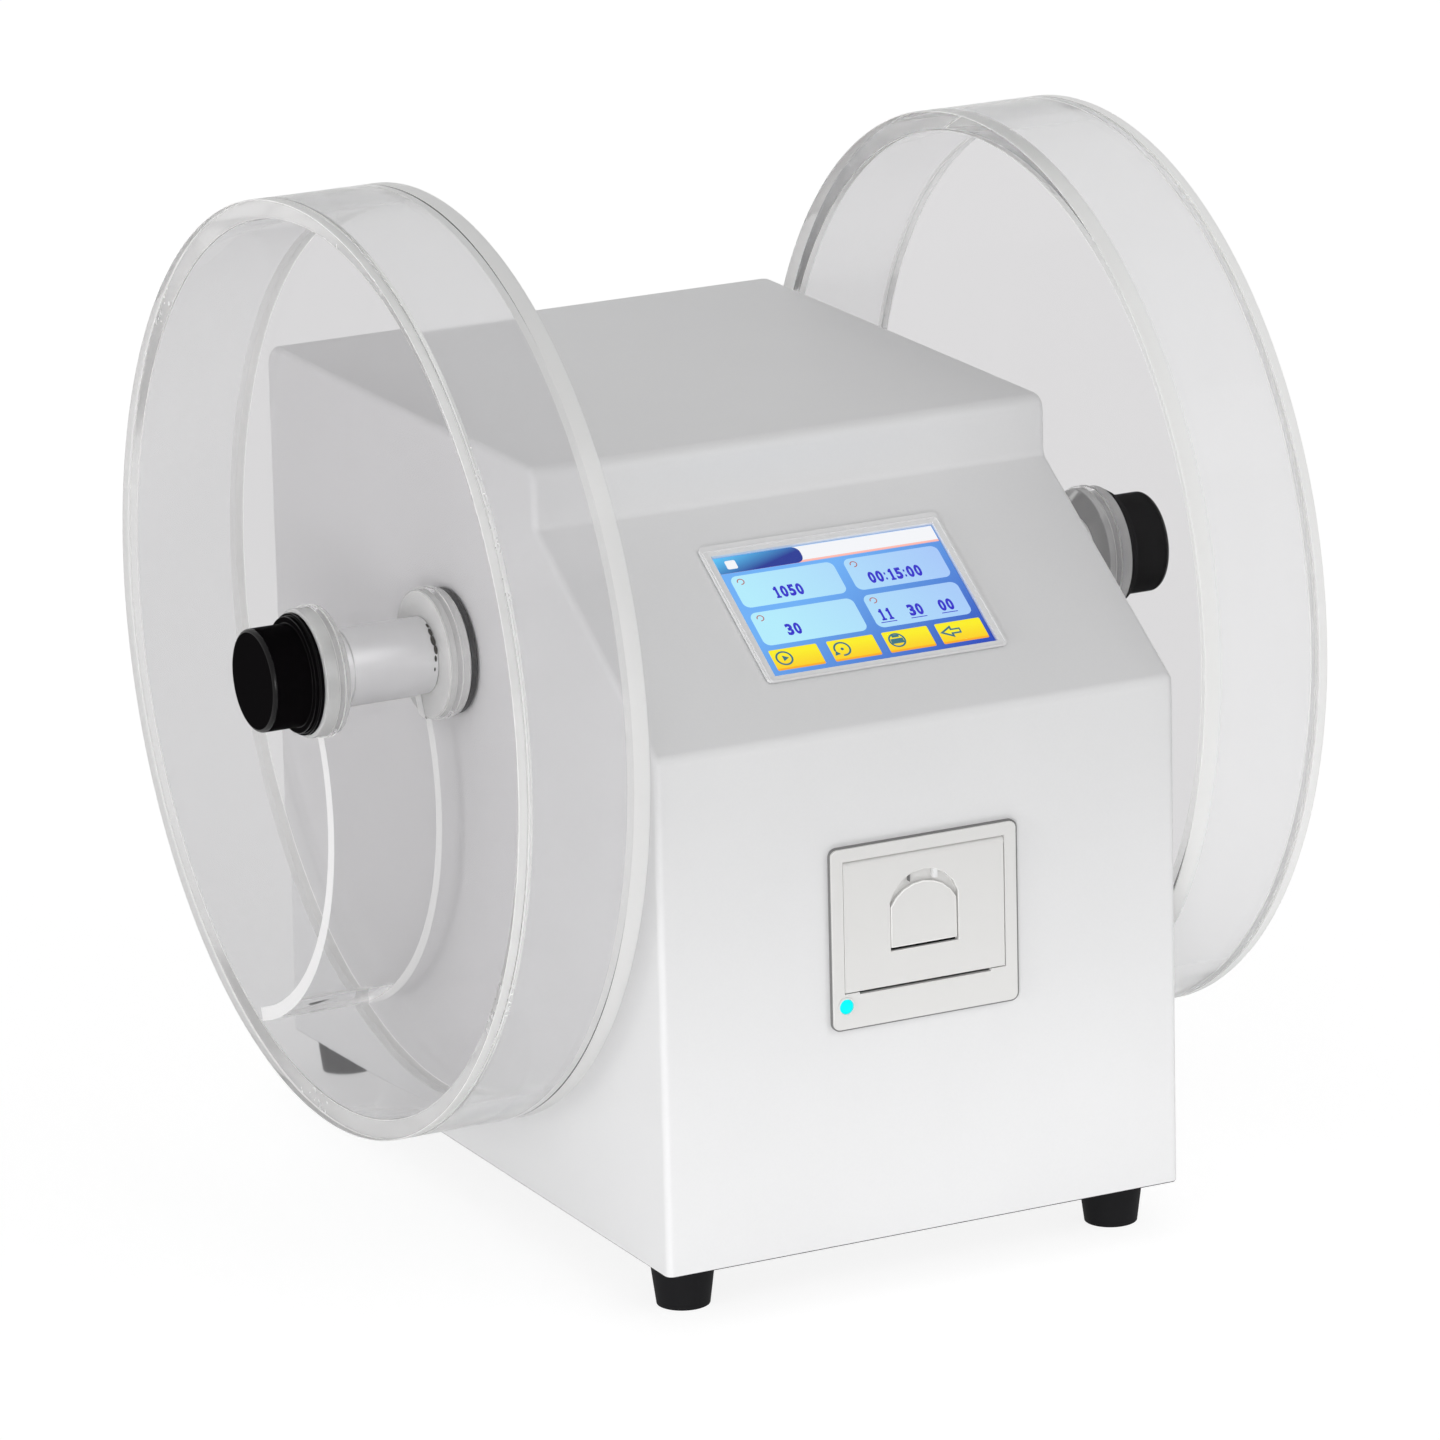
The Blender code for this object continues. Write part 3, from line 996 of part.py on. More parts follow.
def power_supply():
    """Enclosed supply standing on the tray, with its terminal strip."""
    low = Vector((-CASE_SIDE + SUPPLY_FROM_LEFT, PINION_AXIS.y + BRACKET_WIDTH / 2 + SUPPLY_FROM_BRACKET,
                  TRAY_FLOOR + SEAT_GAP))
    high = Vector((INLET_AT.x - INLET_WIDTH / 2 - SUPPLY_FROM_INLET, CASE_BACK - SUPPLY_FROM_BACK,
                   low.z + SUPPLY_HEIGHT))
    supply = soften(box("power_supply", low, high, "zinc_plate"), SUPPLY_CORNER, 1)
    step_low = (high.x - SOCKET_HEIGHT, low.y + SUPPLY_CORNER * 2, low.z + SUPPLY_HEIGHT / 2)
    step_high = (high.x + SUPPLY_CORNER, high.y - SUPPLY_CORNER * 2, high.z + SUPPLY_CORNER)
    step = box("supply_terminals", step_low, step_high, None)
    combine(supply, step, "DIFFERENCE")


def control_board():
    """Control board on its posts, with its larger parts."""
    front = CASE_FRONT + CONTROL_FROM_FRONT
    bottom = TRAY_FLOOR + CONTROL_STANDOFF + SEAT_GAP
    half = CONTROL_LENGTH / 2
    board = box("control_board", (-half, front, bottom), (half, front + CONTROL_WIDTH, bottom + BOARD),
                "circuit_board")
    parts = [(CHIP_WIDTH, CHIP_WIDTH, CHIP_HEIGHT), (CHIP_WIDTH, SOCKET_DEPTH, SOCKET_HEIGHT),
             (CHIP_WIDTH, CHIP_WIDTH / 2, CHIP_HEIGHT), (SOCKET_DEPTH, CHIP_WIDTH, SOCKET_HEIGHT),
             (CHIP_WIDTH / 2, CHIP_WIDTH / 2, SOCKET_HEIGHT)]
    for index, (place, size) in enumerate(zip(CONTROL_PART_SHARES, parts)):
        x, y = place[0] * CONTROL_LENGTH, front + place[1] * CONTROL_WIDTH
        width, length, height = size
        chip = box(f"control_chip_{index}", (x - width / 2, y - length / 2, bottom + BOARD / 2),
                   (x + width / 2, y + length / 2, bottom + BOARD + height), None)
        combine(board, chip, "UNION")


def build():
    """Model every piece of the tester."""
    case_shell()
    base_tray()
    feet()
    rear_panel()
    power_inlet()
    power_switch()
    screen()
    printer_frame()
    printer_lamp()
    printer_door()
    door_lever()
    printer_inside()
    power_supply()
    control_board()
    main_shaft()
    gear_train()
    gear_motor()
    for side in (LEFT, RIGHT):
        bearings(side)
        drum(side)
        cover(side)


clear_scene()
PARTS = collection(OBJECT_NAME)
HELPERS = collection("cutters")
build()
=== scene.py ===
import json
import math

import bmesh
import bpy
from bpy.props import FloatProperty, FloatVectorProperty, IntProperty, PointerProperty
from mathutils import Matrix, Vector

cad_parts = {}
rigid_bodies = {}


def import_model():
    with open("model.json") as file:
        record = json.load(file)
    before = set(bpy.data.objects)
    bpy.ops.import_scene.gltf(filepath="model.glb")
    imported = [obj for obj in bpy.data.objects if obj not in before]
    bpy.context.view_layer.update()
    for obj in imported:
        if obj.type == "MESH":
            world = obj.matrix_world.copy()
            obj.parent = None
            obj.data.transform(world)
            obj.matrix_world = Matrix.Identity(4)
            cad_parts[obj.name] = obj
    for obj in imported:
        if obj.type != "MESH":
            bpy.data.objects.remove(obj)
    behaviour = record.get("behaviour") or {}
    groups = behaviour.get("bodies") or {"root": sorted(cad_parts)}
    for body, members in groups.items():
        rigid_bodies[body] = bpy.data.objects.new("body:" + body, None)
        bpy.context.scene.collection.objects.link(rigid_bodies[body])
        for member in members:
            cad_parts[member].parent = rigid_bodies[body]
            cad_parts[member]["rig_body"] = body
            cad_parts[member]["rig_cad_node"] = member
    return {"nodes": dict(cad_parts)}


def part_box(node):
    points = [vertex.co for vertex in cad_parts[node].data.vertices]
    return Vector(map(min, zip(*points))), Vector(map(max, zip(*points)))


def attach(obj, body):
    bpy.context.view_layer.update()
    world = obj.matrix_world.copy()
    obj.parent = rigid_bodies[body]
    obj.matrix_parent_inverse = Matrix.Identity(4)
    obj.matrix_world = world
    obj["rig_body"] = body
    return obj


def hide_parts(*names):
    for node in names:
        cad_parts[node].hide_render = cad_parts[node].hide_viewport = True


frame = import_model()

bl_info = {
    "name": "Tablet friability tester",
    "version": (1, 0, 0),
    "blender": (4, 5, 0),
    "location": "3D View > Sidebar > Tester",
    "description": "Dresses the two-drum tablet tester on its packed frame",
    "category": "Object",
}

MM = 0.001
CLOSE = 0.02 * MM
SIDES = {-1: "left", 1: "right"}
UP, BACK = Vector((0, 0, 1)), Vector((0, 1, 0))
FRONT, ACROSS = Vector((0, -1, 0)), Vector((1, 0, 0))
AXLE = sum(corner.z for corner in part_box("main_shaft")) / 2


# Sizes and colours that a user may change

def colour(label, note, value):
    """A colour property with its name, note and default."""
    return FloatVectorProperty(name=label, description=note, subtype="COLOR", size=3, min=0, max=1, default=value)


def amount(label, note, value, **more):
    """A property that holds nought or more."""
    return FloatProperty(name=label, description=note, min=0, default=value, **more)


def length(label, note, millimetres):
    """A length property whose default is given in millimetres."""
    return amount(label, note, millimetres * MM, unit="LENGTH")


def angle(label, note, degrees):
    """An angle property whose default is given in degrees."""
    return FloatProperty(name=label, description=note, subtype="ANGLE", default=math.radians(degrees))


def power(label, note, watts):
    """The power of a lamp."""
    return amount(label, note, watts, subtype="POWER")


class CaseSettings(bpy.types.PropertyGroup):
    """Finish and small parts of the sheet-metal case."""
    coat: colour("Coat", "Light grey powder coat of the case", (0.74, 0.74, 0.745))
    inside: colour("Inside", "Darker coat of the base tray", (0.42, 0.42, 0.43))
    edge: length("Edge", "Rounding of the sheet's cut edges", 0.25)
    # The seal is painted shade: a dark line along the walls' bottom edge.
    seal: length("Seal", "Height of the dark seal under the walls", 0.35)
    seal_inset: length("Seal inset", "How far the seal lies behind the walls' outside", 0.2)
    screw_radius: length("Screw radius", "Radius of the pan heads on the rear panel", 3)
    screw_height: length("Screw height", "Height of the pan heads", 2)
    screw_inset: length("Screw inset", "Distance of the screws from the rear panel's edge", 6.5)
    foot_recess: length("Foot recess", "Depth of the screw's recess in a foot", 6)
    foot_bore: length("Foot bore", "Radius of the screw's recess in a foot", 3.6)


class DrumSettings(bpy.types.PropertyGroup):
    """Shape and finish of the clear drums."""
    sides: IntProperty(name="Sides", description="Flats round each drum", min=32, default=240)
    # The left drum's walls and ring are tinted darker than the right's, though both drums are the same acrylic:
    # painted shade.
    left_tint: colour("Left tint", "Colour of the left drum's clear walls", (0.93, 0.925, 0.93))
    right_tint: colour("Right tint", "Colour of the right drum's clear walls", (0.955, 0.95, 0.955))
    vane_tint: colour("Vane tint", "Colour of the curved vanes", (0.95, 0.95, 0.95))
    left_ring: colour("Left ring", "Colour of the left drum's bent ring", (0.91, 0.91, 0.915))
    right_ring: colour("Right ring", "Colour of the right drum's bent ring", (0.98, 0.98, 0.985))
    edge_tint: colour("Edge tint", "Colour of the sawn and bonded edges", (0.91, 0.91, 0.90))
    boss_tint: colour("Boss tint", "Colour of the turned bosses and the vanes' edges", (0.97, 0.97, 0.965))
    bond: length("Bond", "Width of the milky zone where ring and inner wall meet", 2.6)
    chamfer: length("Chamfer", "Broken edge of the acrylic plates", 0.35)


class HubSettings(bpy.types.PropertyGroup):
    """Shape and finish of the hubs and knobs."""
    sides: IntProperty(name="Sides", description="Flats round each hub part", min=16, default=96)
    knob: colour("Knob", "Black plastic of the knobs", (0.0032, 0.0028, 0.0032))
    metal: colour("Metal", "Turned aluminium of the hub tubes", (0.94, 0.94, 0.945))
    knob_edge: length("Knob edge", "Rounding of the knob's face edge", 1.3)
    flange: length("Flange", "Thickness of the knob's flange", 2.8)
    flange_step: length("Flange step", "How far the flange stands out from the cap", 3)
    rim_step: length("Rim step", "Step in the flange's rim", 0.9)
    rim_first: length("Rim first", "Thickness of the flange's wider step", 1.3)
    thread: length("Thread", "Least radius of the knob's bore", 5.6)
    bore_depth: length("Bore depth", "Depth of the knob's bore past its flange", 10)
    neck: length("Neck", "Length of the hub tube's narrower neck", 5)
    neck_step: length("Neck step", "How much smaller the neck's radius is", 0.7)


class ScreenSettings(bpy.types.PropertyGroup):
    """Layout and colours of the touch screen."""
    slope: angle("Slope", "Angle of the sloped panel to the level", math.degrees(math.atan2(54, 80.5)))
    width: length("Width", "Width of the lit area", 77)
    height: length("Height", "Height of the lit area", 49.9)
    layer: length("Layer", "Height of one printed layer of the picture", 0.03)
    dot: length("Dot", "Distance of the picture's dots", 0.24)
    header: colour("Header", "Title bar", (0.93, 0.94, 0.97))
    header_line: colour("Header line", "Thin line under the title bar", (1.0, 0.50, 0.44))
    tab: colour("Tab", "Dark tab at the left of the title bar", (0.008, 0.03, 0.3))
    tab_edge: colour("Tab edge", "Bright upper edge of the tab", (0.10, 0.55, 0.95))
    field: colour("Field", "Blue field in the middle", (0.15, 0.44, 0.95))
    field_edge: colour("Field edge", "Deeper blue at the field's right side", (0.012, 0.06, 0.5))
    panel: colour("Panel", "Pale panels at their left", (0.46, 0.86, 1.0))
    panel_edge: colour("Panel edge", "Pale panels at their right", (0.38, 0.54, 0.97))
    digit: colour("Digit", "Numbers", (0.02, 0.012, 0.6))
    button: colour("Button", "Buttons", (1.0, 0.88, 0.0))
    button_edge: colour("Button edge", "Lower edge of the buttons", (1.0, 0.42, 0.0))
    icon: colour("Icon", "Pictures on the buttons", (0.035, 0.17, 0.22))
    mark: colour("Mark", "Small pictures in the panels", (0.45, 0.14, 0.13))


class PrinterSettings(bpy.types.PropertyGroup):
    """Finish and small parts of the panel printer."""
    plastic: colour("Plastic", "Warm light grey plastic", (0.70, 0.695, 0.685))
    lamp: colour("Lamp", "Ready lamp", (0.0, 0.95, 0.98))
    edge: length("Edge", "Rounding of the moulded edges", 0.35)
    outline: length("Outline", "Width of the dark gasket that shows round the flange", 0.5)
    gasket: length("Gasket", "Depth of the gasket before the case's front", 1.4)
    # The shift widens the gasket's dark line on the right and below, as painted shadow of the flange.
    shift: length("Shift", "How far the gasket sits to the right", 0.34)
    corner: length("Corner", "Rounding of the flange's corners", 2.2)
    rib_left: length("Left rib", "Distance of the thin rib from the middle", 4.8)
    rib_right: length("Right rib", "Distance of the wide rib from the middle", 4.1)
    lamp_ring: length("Lamp ring", "Width of the raised ring round the lamp", 0.55)
    dome: length("Dome", "Height of the lamp's domed end", 0.5)


class StageSettings(bpy.types.PropertyGroup):
    """Camera, lamps and floor."""
    place: FloatVectorProperty(name="Place", description="Camera's place", subtype="XYZ", unit="LENGTH",
                               default=(-1.24269, -2.4837, 0.94769))
    turn: angle("Turn", "Camera's azimuth", -26.62)
    tilt: angle("Tilt", "Camera's height angle", 16.1)
    roll: angle("Roll", "Camera's roll", -1.37)
    lens: FloatProperty(name="Lens", description="Focal length on a 36 mm sensor", subtype="DISTANCE_CAMERA",
                        default=225.75)
    room: amount("Room", "Light from the room all round", 0.51)
    backdrop: amount("Backdrop", "Brightness of the backdrop in metal and clear plastic", 0.85)
    white: amount("White", "Brightness of the floor's white as the camera sees it", 1.14)
    key: power("Key", "Low soft lamp in front", 17.3)
    back: power("Back", "Soft lamp high behind", 11.3)
    side: power("Side", "Soft lamp at the left", 26)
    card: power("Card", "Small lamp that brightens the foot of the front", 0.3)
    far: power("Far", "Soft lamp at the right", 6)
    fill: power("Fill", "Soft lamp high at the right", 5.6)
    floor: colour("Floor", "Pale floor", (0.86, 0.86, 0.86))
    lift: amount("Lift", "Share of plain white in what is seen of the floor", 0.75, max=1)


def settings(name):
    """One of the scene's groups of sizes and colours."""
    return getattr(bpy.context.scene, "tester_" + name)


# Tools for modelling

def deselect():
    """Leaves nothing selected, in object mode."""
    if bpy.context.object and bpy.context.object.mode != "OBJECT":
        bpy.ops.object.mode_set(mode="OBJECT")
    bpy.ops.object.select_all(action="DESELECT")


def pick_out(piece):
    """Makes one piece the only selected and active one."""
    deselect()
    piece.select_set(True)
    bpy.context.view_layer.objects.active = piece


def added(name, add, **options):
    """A new basic shape under its name."""
    deselect()
    add(**options)
    bpy.context.object.name = name
    return bpy.context.object


def applied(piece):
    """Puts a piece's place, turn and scale into its mesh."""
    pick_out(piece)
    bpy.ops.object.transform_apply(location=True, rotation=True, scale=True)
    return piece


def open_whole(piece):
    """Opens a piece for editing with all of it selected."""
    pick_out(piece)
    bpy.ops.object.mode_set(mode="EDIT")
    bpy.ops.mesh.select_all(action="SELECT")


def choose(piece, kind, test):
    """Selects those edges or faces of a piece that pass a test, and leaves it open."""
    if piece.mode != "EDIT":
        open_whole(piece)
    bpy.ops.mesh.select_mode(type=kind)
    bpy.ops.mesh.select_all(action="DESELECT")
    shape = bmesh.from_edit_mesh(piece.data)
    for part in {"EDGE": shape.edges, "FACE": shape.faces}[kind]:
        part.select_set(bool(test(part)))
    bmesh.update_edit_mesh(piece.data)


def closed(piece):
    """Turns all faces outwards and closes the editing."""
    bpy.ops.mesh.select_all(action="SELECT")
    bpy.ops.mesh.normals_make_consistent(inside=False)
    bpy.ops.object.mode_set(mode="OBJECT")
    return piece


def raised(piece, height):
    """Gives an open flat piece its thickness and closes it."""
    bpy.ops.mesh.extrude_region_move(TRANSFORM_OT_translate={"value": (0, 0, height)})
    return closed(piece)


def modified(piece, kind, **values):
    """Applies one modifier to a piece."""
    pick_out(piece)
    modifier = piece.modifiers.new(kind.lower(), kind)
    for name, value in values.items():
        setattr(modifier, name, value)
    bpy.ops.object.modifier_apply(modifier=modifier.name)
    return piece


def smooth(piece, degrees=32):
    """Shades curved faces smooth and keeps flat ones flat."""
    pick_out(piece)
    bpy.ops.object.shade_smooth_by_angle(angle=math.radians(degrees))
    return modified(piece, "WEIGHTED_NORMAL", keep_sharp=True)


def soften(piece, width, steps=2, slot=-1, degrees=40):
    """Rounds the sharp edges, and may give the new faces a finish of their own."""
    return modified(piece, "BEVEL", width=width, segments=steps, limit_method="ANGLE",
                    angle_limit=math.radians(degrees), material=slot)


def cut(piece, tool):
    """Takes a tool's shape out of a piece and removes the tool."""
    modified(piece, "BOOLEAN", operation="DIFFERENCE", solver="EXACT", object=tool)
    bpy.data.objects.remove(tool)
    return piece


def placed(piece, place=(0, 0, 0), along=UP, across=None):
    """Stands a piece modelled upright at the origin where it belongs, its top pointing along."""
    along = Vector(along).normalized()
    if across is None:
        across = ACROSS if abs(along.x) < 0.9 else BACK
    across = (Vector(across) - along * along.dot(Vector(across))).normalized()
    turn = Matrix((across, along.cross(across), along)).transposed().to_4x4()
    piece.matrix_world = Matrix.Translation(place) @ turn
    return applied(piece)


def band(low, high, inner, outer):
    """Profile of a plain ring."""
    return [(low, inner), (low, outer), (high, outer), (high, inner)]


def direction(degrees):
    """Cosine and sine of an angle."""
    return math.cos(math.radians(degrees)), math.sin(math.radians(degrees))


def lathe(name, profile, sides, hollow=False):
    """Turns a profile of (height, radius) points about the upright axis, from one circle."""
    height, radius = profile[0]
    piece = added(name, bpy.ops.mesh.primitive_circle_add, vertices=sides, radius=radius)
    choose(piece, "EDGE", lambda edge: True)
    bpy.ops.transform.translate(value=(0, 0, height))
    for next_height, next_radius in profile[1:]:
        bpy.ops.mesh.extrude_edges_move(TRANSFORM_OT_translate={"value": (0, 0, next_height - height)})
        grow = next_radius / radius
        bpy.ops.transform.resize(value=(grow, grow, 1), center_override=(0, 0, next_height))
        height, radius = next_height, next_radius

    def on_rings(edge, rings):
        return all(any(abs(v.co.z - h) < CLOSE / 4 and abs(math.hypot(v.co.x, v.co.y) - r) < CLOSE / 4
                       for h, r in rings) for v in edge.verts) and len(edge.link_faces) == 1

    ends = (profile[0], profile[-1])
    if hollow:
        choose(piece, "EDGE", lambda edge: on_rings(edge, ends))
        bpy.ops.mesh.bridge_edge_loops()
    else:
        for ring in ends:
            choose(piece, "EDGE", lambda edge: on_rings(edge, [ring]))
            bpy.ops.mesh.edge_face_add()
    return closed(piece)


def block(name, low, high, rounding=0, steps=2):
    """A rectangular piece between two corners, with rounded edges."""
    low, high = Vector(low), Vector(high)
    piece = added(name, bpy.ops.mesh.primitive_cube_add, size=1, location=(low + high) / 2)
    piece.scale = high - low
    applied(piece)
    return soften(piece, rounding, steps) if rounding else piece


def upright_corners(piece, radius, axis):
    """Rounds the four edges of a block that run along one axis."""
    others = "xyz".replace(axis, "")
    choose(piece, "EDGE", lambda edge: sum(abs(getattr(edge.verts[0].co - edge.verts[1].co, other))
                                           for other in others) < CLOSE)
    bpy.ops.mesh.bevel(offset=radius, segments=8, affect="EDGES")
    return closed(piece)


def joined(name, pieces):
    """Makes one or more pieces one."""
    deselect()
    for piece in pieces:
        piece.select_set(True)
    bpy.context.view_layer.objects.active = pieces[0]
    if len(pieces) > 1:
        bpy.ops.object.join()
    pieces[0].name = name
    return pieces[0]


def twin(piece, name):
    """A copy of a piece with its own mesh."""
    pick_out(piece)
    bpy.ops.object.duplicate()
    bpy.context.object.name = name
    return bpy.context.object


def from_node(name, node, edge=0):
    """A merged copy of a frame node, its flats made whole and its edges rounded."""
    piece = twin(frame["nodes"][node], name)
    del piece["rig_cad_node"]
    del piece["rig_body"]
    piece.parent = None
    piece.data.materials.clear()
    open_whole(piece)
    bpy.ops.mesh.remove_doubles(threshold=CLOSE / 10)
    bpy.ops.mesh.dissolve_limited(angle_limit=math.radians(0.6))
    closed(piece)
    return soften(piece, edge) if edge else piece


def paint(piece, *materials):
    """Gives a piece its finishes, in the order of its slots."""
    piece.data.materials.clear()
    for material in materials:
        piece.data.materials.append(material)
    return piece


def coat(piece, slot, test):
    """Gives those faces of a piece that pass a test another of its finishes."""
    choose(piece, "FACE", test)
    piece.active_material_index = slot
    bpy.ops.object.material_slot_assign()
    bpy.ops.object.mode_set(mode="OBJECT")
    return piece


def zone(near, far, least=-1):
    """A test for faces between two distances from the middle plane and past a least radius."""
    def test(face):
        middle = face.calc_center_median()
        return near < abs(middle.x) < far and math.hypot(middle.y, middle.z - AXLE) > least
    return test


def rides(piece, body):
    """Lets an extra piece move with a body."""
    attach(piece, body)
    return piece


def stands_for(piece, slot, *nodes):
    """Shows a piece in place of frame nodes, on their body; the slot it is given is not used."""
    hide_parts(*nodes)
    return rides(piece, frame["nodes"][nodes[0]]["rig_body"])


def reach(node):
    """Start and end of a turned node from the middle plane, and its least and greatest radius."""
    low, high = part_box(node)
    radii = [math.hypot(v.co.y, v.co.z - AXLE) for v in frame["nodes"][node].data.vertices]
    return *sorted((abs(low.x), abs(high.x))), min(radii), max(radii)


def on_axle(piece, side):
    """Lays a piece modelled upright on the drums' axis, its top pointing outwards."""
    return placed(piece, (0, 0, AXLE), ACROSS * side)


def sleeve(name, node, side, sides):
    """A plain ring in the place of a turned node."""
    return on_axle(lathe(name, band(*reach(node)), sides, hollow=True), side)


# Shared effects of the finishes

def new_group(name, inputs, outputs):
    """An empty group of nodes with named sockets. Returns its tree, its inputs and its outputs."""
    tree = bpy.data.node_groups.new(name, "ShaderNodeTree")
    for label, value in inputs:
        tree.interface.new_socket(label, in_out="INPUT", socket_type="NodeSocketFloat").default_value = value
    for label in outputs:
        tree.interface.new_socket(label, in_out="OUTPUT", socket_type="NodeSocketFloat")
    return tree, tree.nodes.new("NodeGroupInput").outputs, tree.nodes.new("NodeGroupOutput").inputs


def feed(tree, value, socket):
    """Sets a socket to a number or links it to another."""
    if isinstance(value, (int, float)):
        socket.default_value = value
    elif value is not None:
        tree.links.new(value, socket)


def maths(tree, operation, *values):
    """A Math node whose inputs are numbers or sockets. Returns its output."""
    node = tree.nodes.new("ShaderNodeMath")
    node.operation = operation
    for socket, value in zip(node.inputs, values):
        feed(tree, value, socket)
    return node.outputs[0]


def noise(tree, scale, detail, dimensions="3D", vector=None, w=None):
    """A noise texture on object coordinates or along one value. Returns its strength output."""
    node = tree.nodes.new("ShaderNodeTexNoise")
    node.noise_dimensions = dimensions
    for label, value in (("Detail", detail), ("Scale", scale), ("Vector", vector), ("W", w)):
        if value is not None:
            feed(tree, value, node.inputs[label])
    return node.outputs[0]


def coordinates(tree):
    """The object coordinates."""
    return tree.nodes.new("ShaderNodeTexCoord").outputs["Object"]


def axes(tree):
    """The object coordinates one by one."""
    split = tree.nodes.new("ShaderNodeSeparateXYZ")
    tree.links.new(coordinates(tree), split.inputs[0])
    return split.outputs


def grain_group():
    """Fine grain of a coat or moulding, with a slow unevenness under it."""
    tree, start, end = new_group("surface_grain", [("Scale", 900), ("Slow Scale", 14)], ["Height", "Mask"])
    where = coordinates(tree)
    fine = noise(tree, start["Scale"], 2, vector=where)
    slow = noise(tree, start["Slow Scale"], 3, vector=where)
    feed(tree, maths(tree, "MULTIPLY_ADD", slow, 0.15, fine), end["Height"])
    feed(tree, maths(tree, "MULTIPLY_ADD", slow, 0.7, maths(tree, "MULTIPLY", fine, 0.3)), end["Mask"])
    return tree


def turning_group():
    """Fine rings that a lathe leaves, on faces and round outsides about the drums' axis."""
    tree, start, end = new_group("turning_marks", [("Scale", 2500)], ["Height", "Mask"])
    at = axes(tree)
    rise = maths(tree, "SUBTRACT", at["Z"], AXLE)
    square = maths(tree, "MULTIPLY_ADD", at["Y"], at["Y"], maths(tree, "MULTIPLY", rise, rise))
    along = maths(tree, "ADD", at["X"], maths(tree, "SQRT", square))
    feed(tree, noise(tree, start["Scale"], 3, "1D", w=along), end["Height"])
    feed(tree, noise(tree, 160, 1, "1D", w=along), end["Mask"])
    return tree


def picture_group():
    """A fade across and down the screen, and the fine dots of its picture."""
    tree, start, end = new_group("screen_picture", [("Across", 0.5), ("Down", 0), ("Start", 0.5)], ["Fade", "Dots"])
    screen = settings("screen")
    at = axes(tree)
    across = maths(tree, "MULTIPLY", at["X"], 2 / screen.width)
    down = maths(tree, "MULTIPLY", maths(tree, "SUBTRACT", slope_frame()[0].y, at["Y"]),
                 2 / (screen.height * math.cos(screen.slope)))
    fade = maths(tree, "MULTIPLY_ADD", down, start["Down"], start["Start"])
    fade = maths(tree, "MULTIPLY_ADD", across, start["Across"], fade)
    feed(tree, maths(tree, "MINIMUM", maths(tree, "MAXIMUM", fade, 0), 1), end["Fade"])
    pitch = 2 * math.pi / screen.dot
    waves = [maths(tree, "SINE", maths(tree, "MULTIPLY", at[label], pitch)) for label in "XY"]
    feed(tree, maths(tree, "MULTIPLY_ADD", maths(tree, "MULTIPLY", *waves), 0.5, 0.5), end["Dots"])
    return tree


def board_group():
    """Copper tracks under the lacquer of a circuit board."""
    tree, start, end = new_group("board_tracks", [("Scale", 260)], ["Height", "Mask"])
    cells = tree.nodes.new("ShaderNodeTexVoronoi")
    cells.distance = "CHEBYCHEV"
    feed(tree, coordinates(tree), cells.inputs["Vector"])
    feed(tree, start["Scale"], cells.inputs["Scale"])
    lines = maths(tree, "GREATER_THAN", maths(tree, "FRACT", maths(tree, "MULTIPLY", cells.outputs[0], 3)), 0.6)
    feed(tree, lines, end["Mask"])
    feed(tree, lines, end["Height"])
    return tree


GROUP_MAKERS = {"grain": grain_group, "turning": turning_group, "picture": picture_group, "board": board_group}
GROUPS = {}


def effect(tree, name, **values):
    """Puts one of the shared effects into a material with its own values."""
    if name not in GROUPS:
        GROUPS[name] = GROUP_MAKERS[name]()
    node = tree.nodes.new("ShaderNodeGroup")
    node.node_tree = GROUPS[name]
    for label, value in values.items():
        node.inputs[label].default_value = value
    return node.outputs


# Finishes

def blank(name, values):
    """A material with one Principled shader and its plain values. Returns it with its tree and shader."""
    material = bpy.data.materials.new(name)
    material.use_nodes = True
    shader = material.node_tree.nodes["Principled BSDF"]
    for label, value in values.items():
        shader.inputs[label].default_value = value
    return material, material.node_tree, shader


def shade(tree, mask, first, second, socket):
    """Blends two colours by a mask into a colour socket."""
    node = tree.nodes.new("ShaderNodeMix")
    node.data_type = "RGBA"
    node.inputs["A"].default_value = (*first, 1)
    node.inputs["B"].default_value = (*second, 1)
    feed(tree, mask, node.inputs["Factor"])
    feed(tree, node.outputs["Result"], socket)


def between(tree, mask, low, high, socket):
    """Spreads a mask from low to high into a value socket."""
    feed(tree, maths(tree, "MULTIPLY_ADD", mask, high - low, low), socket)


def bump(tree, height, strength, depth, socket):
    """Raises a surface by a height into a normal socket. Depth in mm."""
    node = tree.nodes.new("ShaderNodeBump")
    node.inputs["Strength"].default_value = strength
    node.inputs["Distance"].default_value = depth * MM
    feed(tree, height, node.inputs["Height"])
    feed(tree, node.outputs[0], socket)


def mixed(tree, share, first, second, output):
    """Mixes two shaders by a share into the surface of a tree's output."""
    mix = tree.nodes.new("ShaderNodeMixShader")
    for source, socket in zip((share, first.outputs[0], second.outputs[0]), mix.inputs):
        feed(tree, source, socket)
    feed(tree, mix.outputs[0], tree.nodes[output].inputs["Surface"])


def solid(name, tone, light, rough, metal, kind, scale, depth, contrast, gloss=0.5):
    """An opaque finish with grain or turning marks in its colour, roughness and surface."""
    if isinstance(tone, str):
        group, setting = tone.split()
        tone = getattr(settings(group), setting)
    material, tree, shader = blank(name, {"Metallic": metal, "Specular IOR Level": gloss})
    marks = effect(tree, kind, Scale=scale)
    darker, lighter = ([min(1, c * light * (1 + change)) for c in tone] for change in (-contrast, contrast))
    shade(tree, marks["Mask"], darker, lighter, shader.inputs["Base Color"])
    between(tree, marks["Mask"], rough * 0.85, min(1, rough * 1.15), shader.inputs["Roughness"])
    bump(tree, marks["Height"], 0.5, depth, shader.inputs["Normal"])
    return material


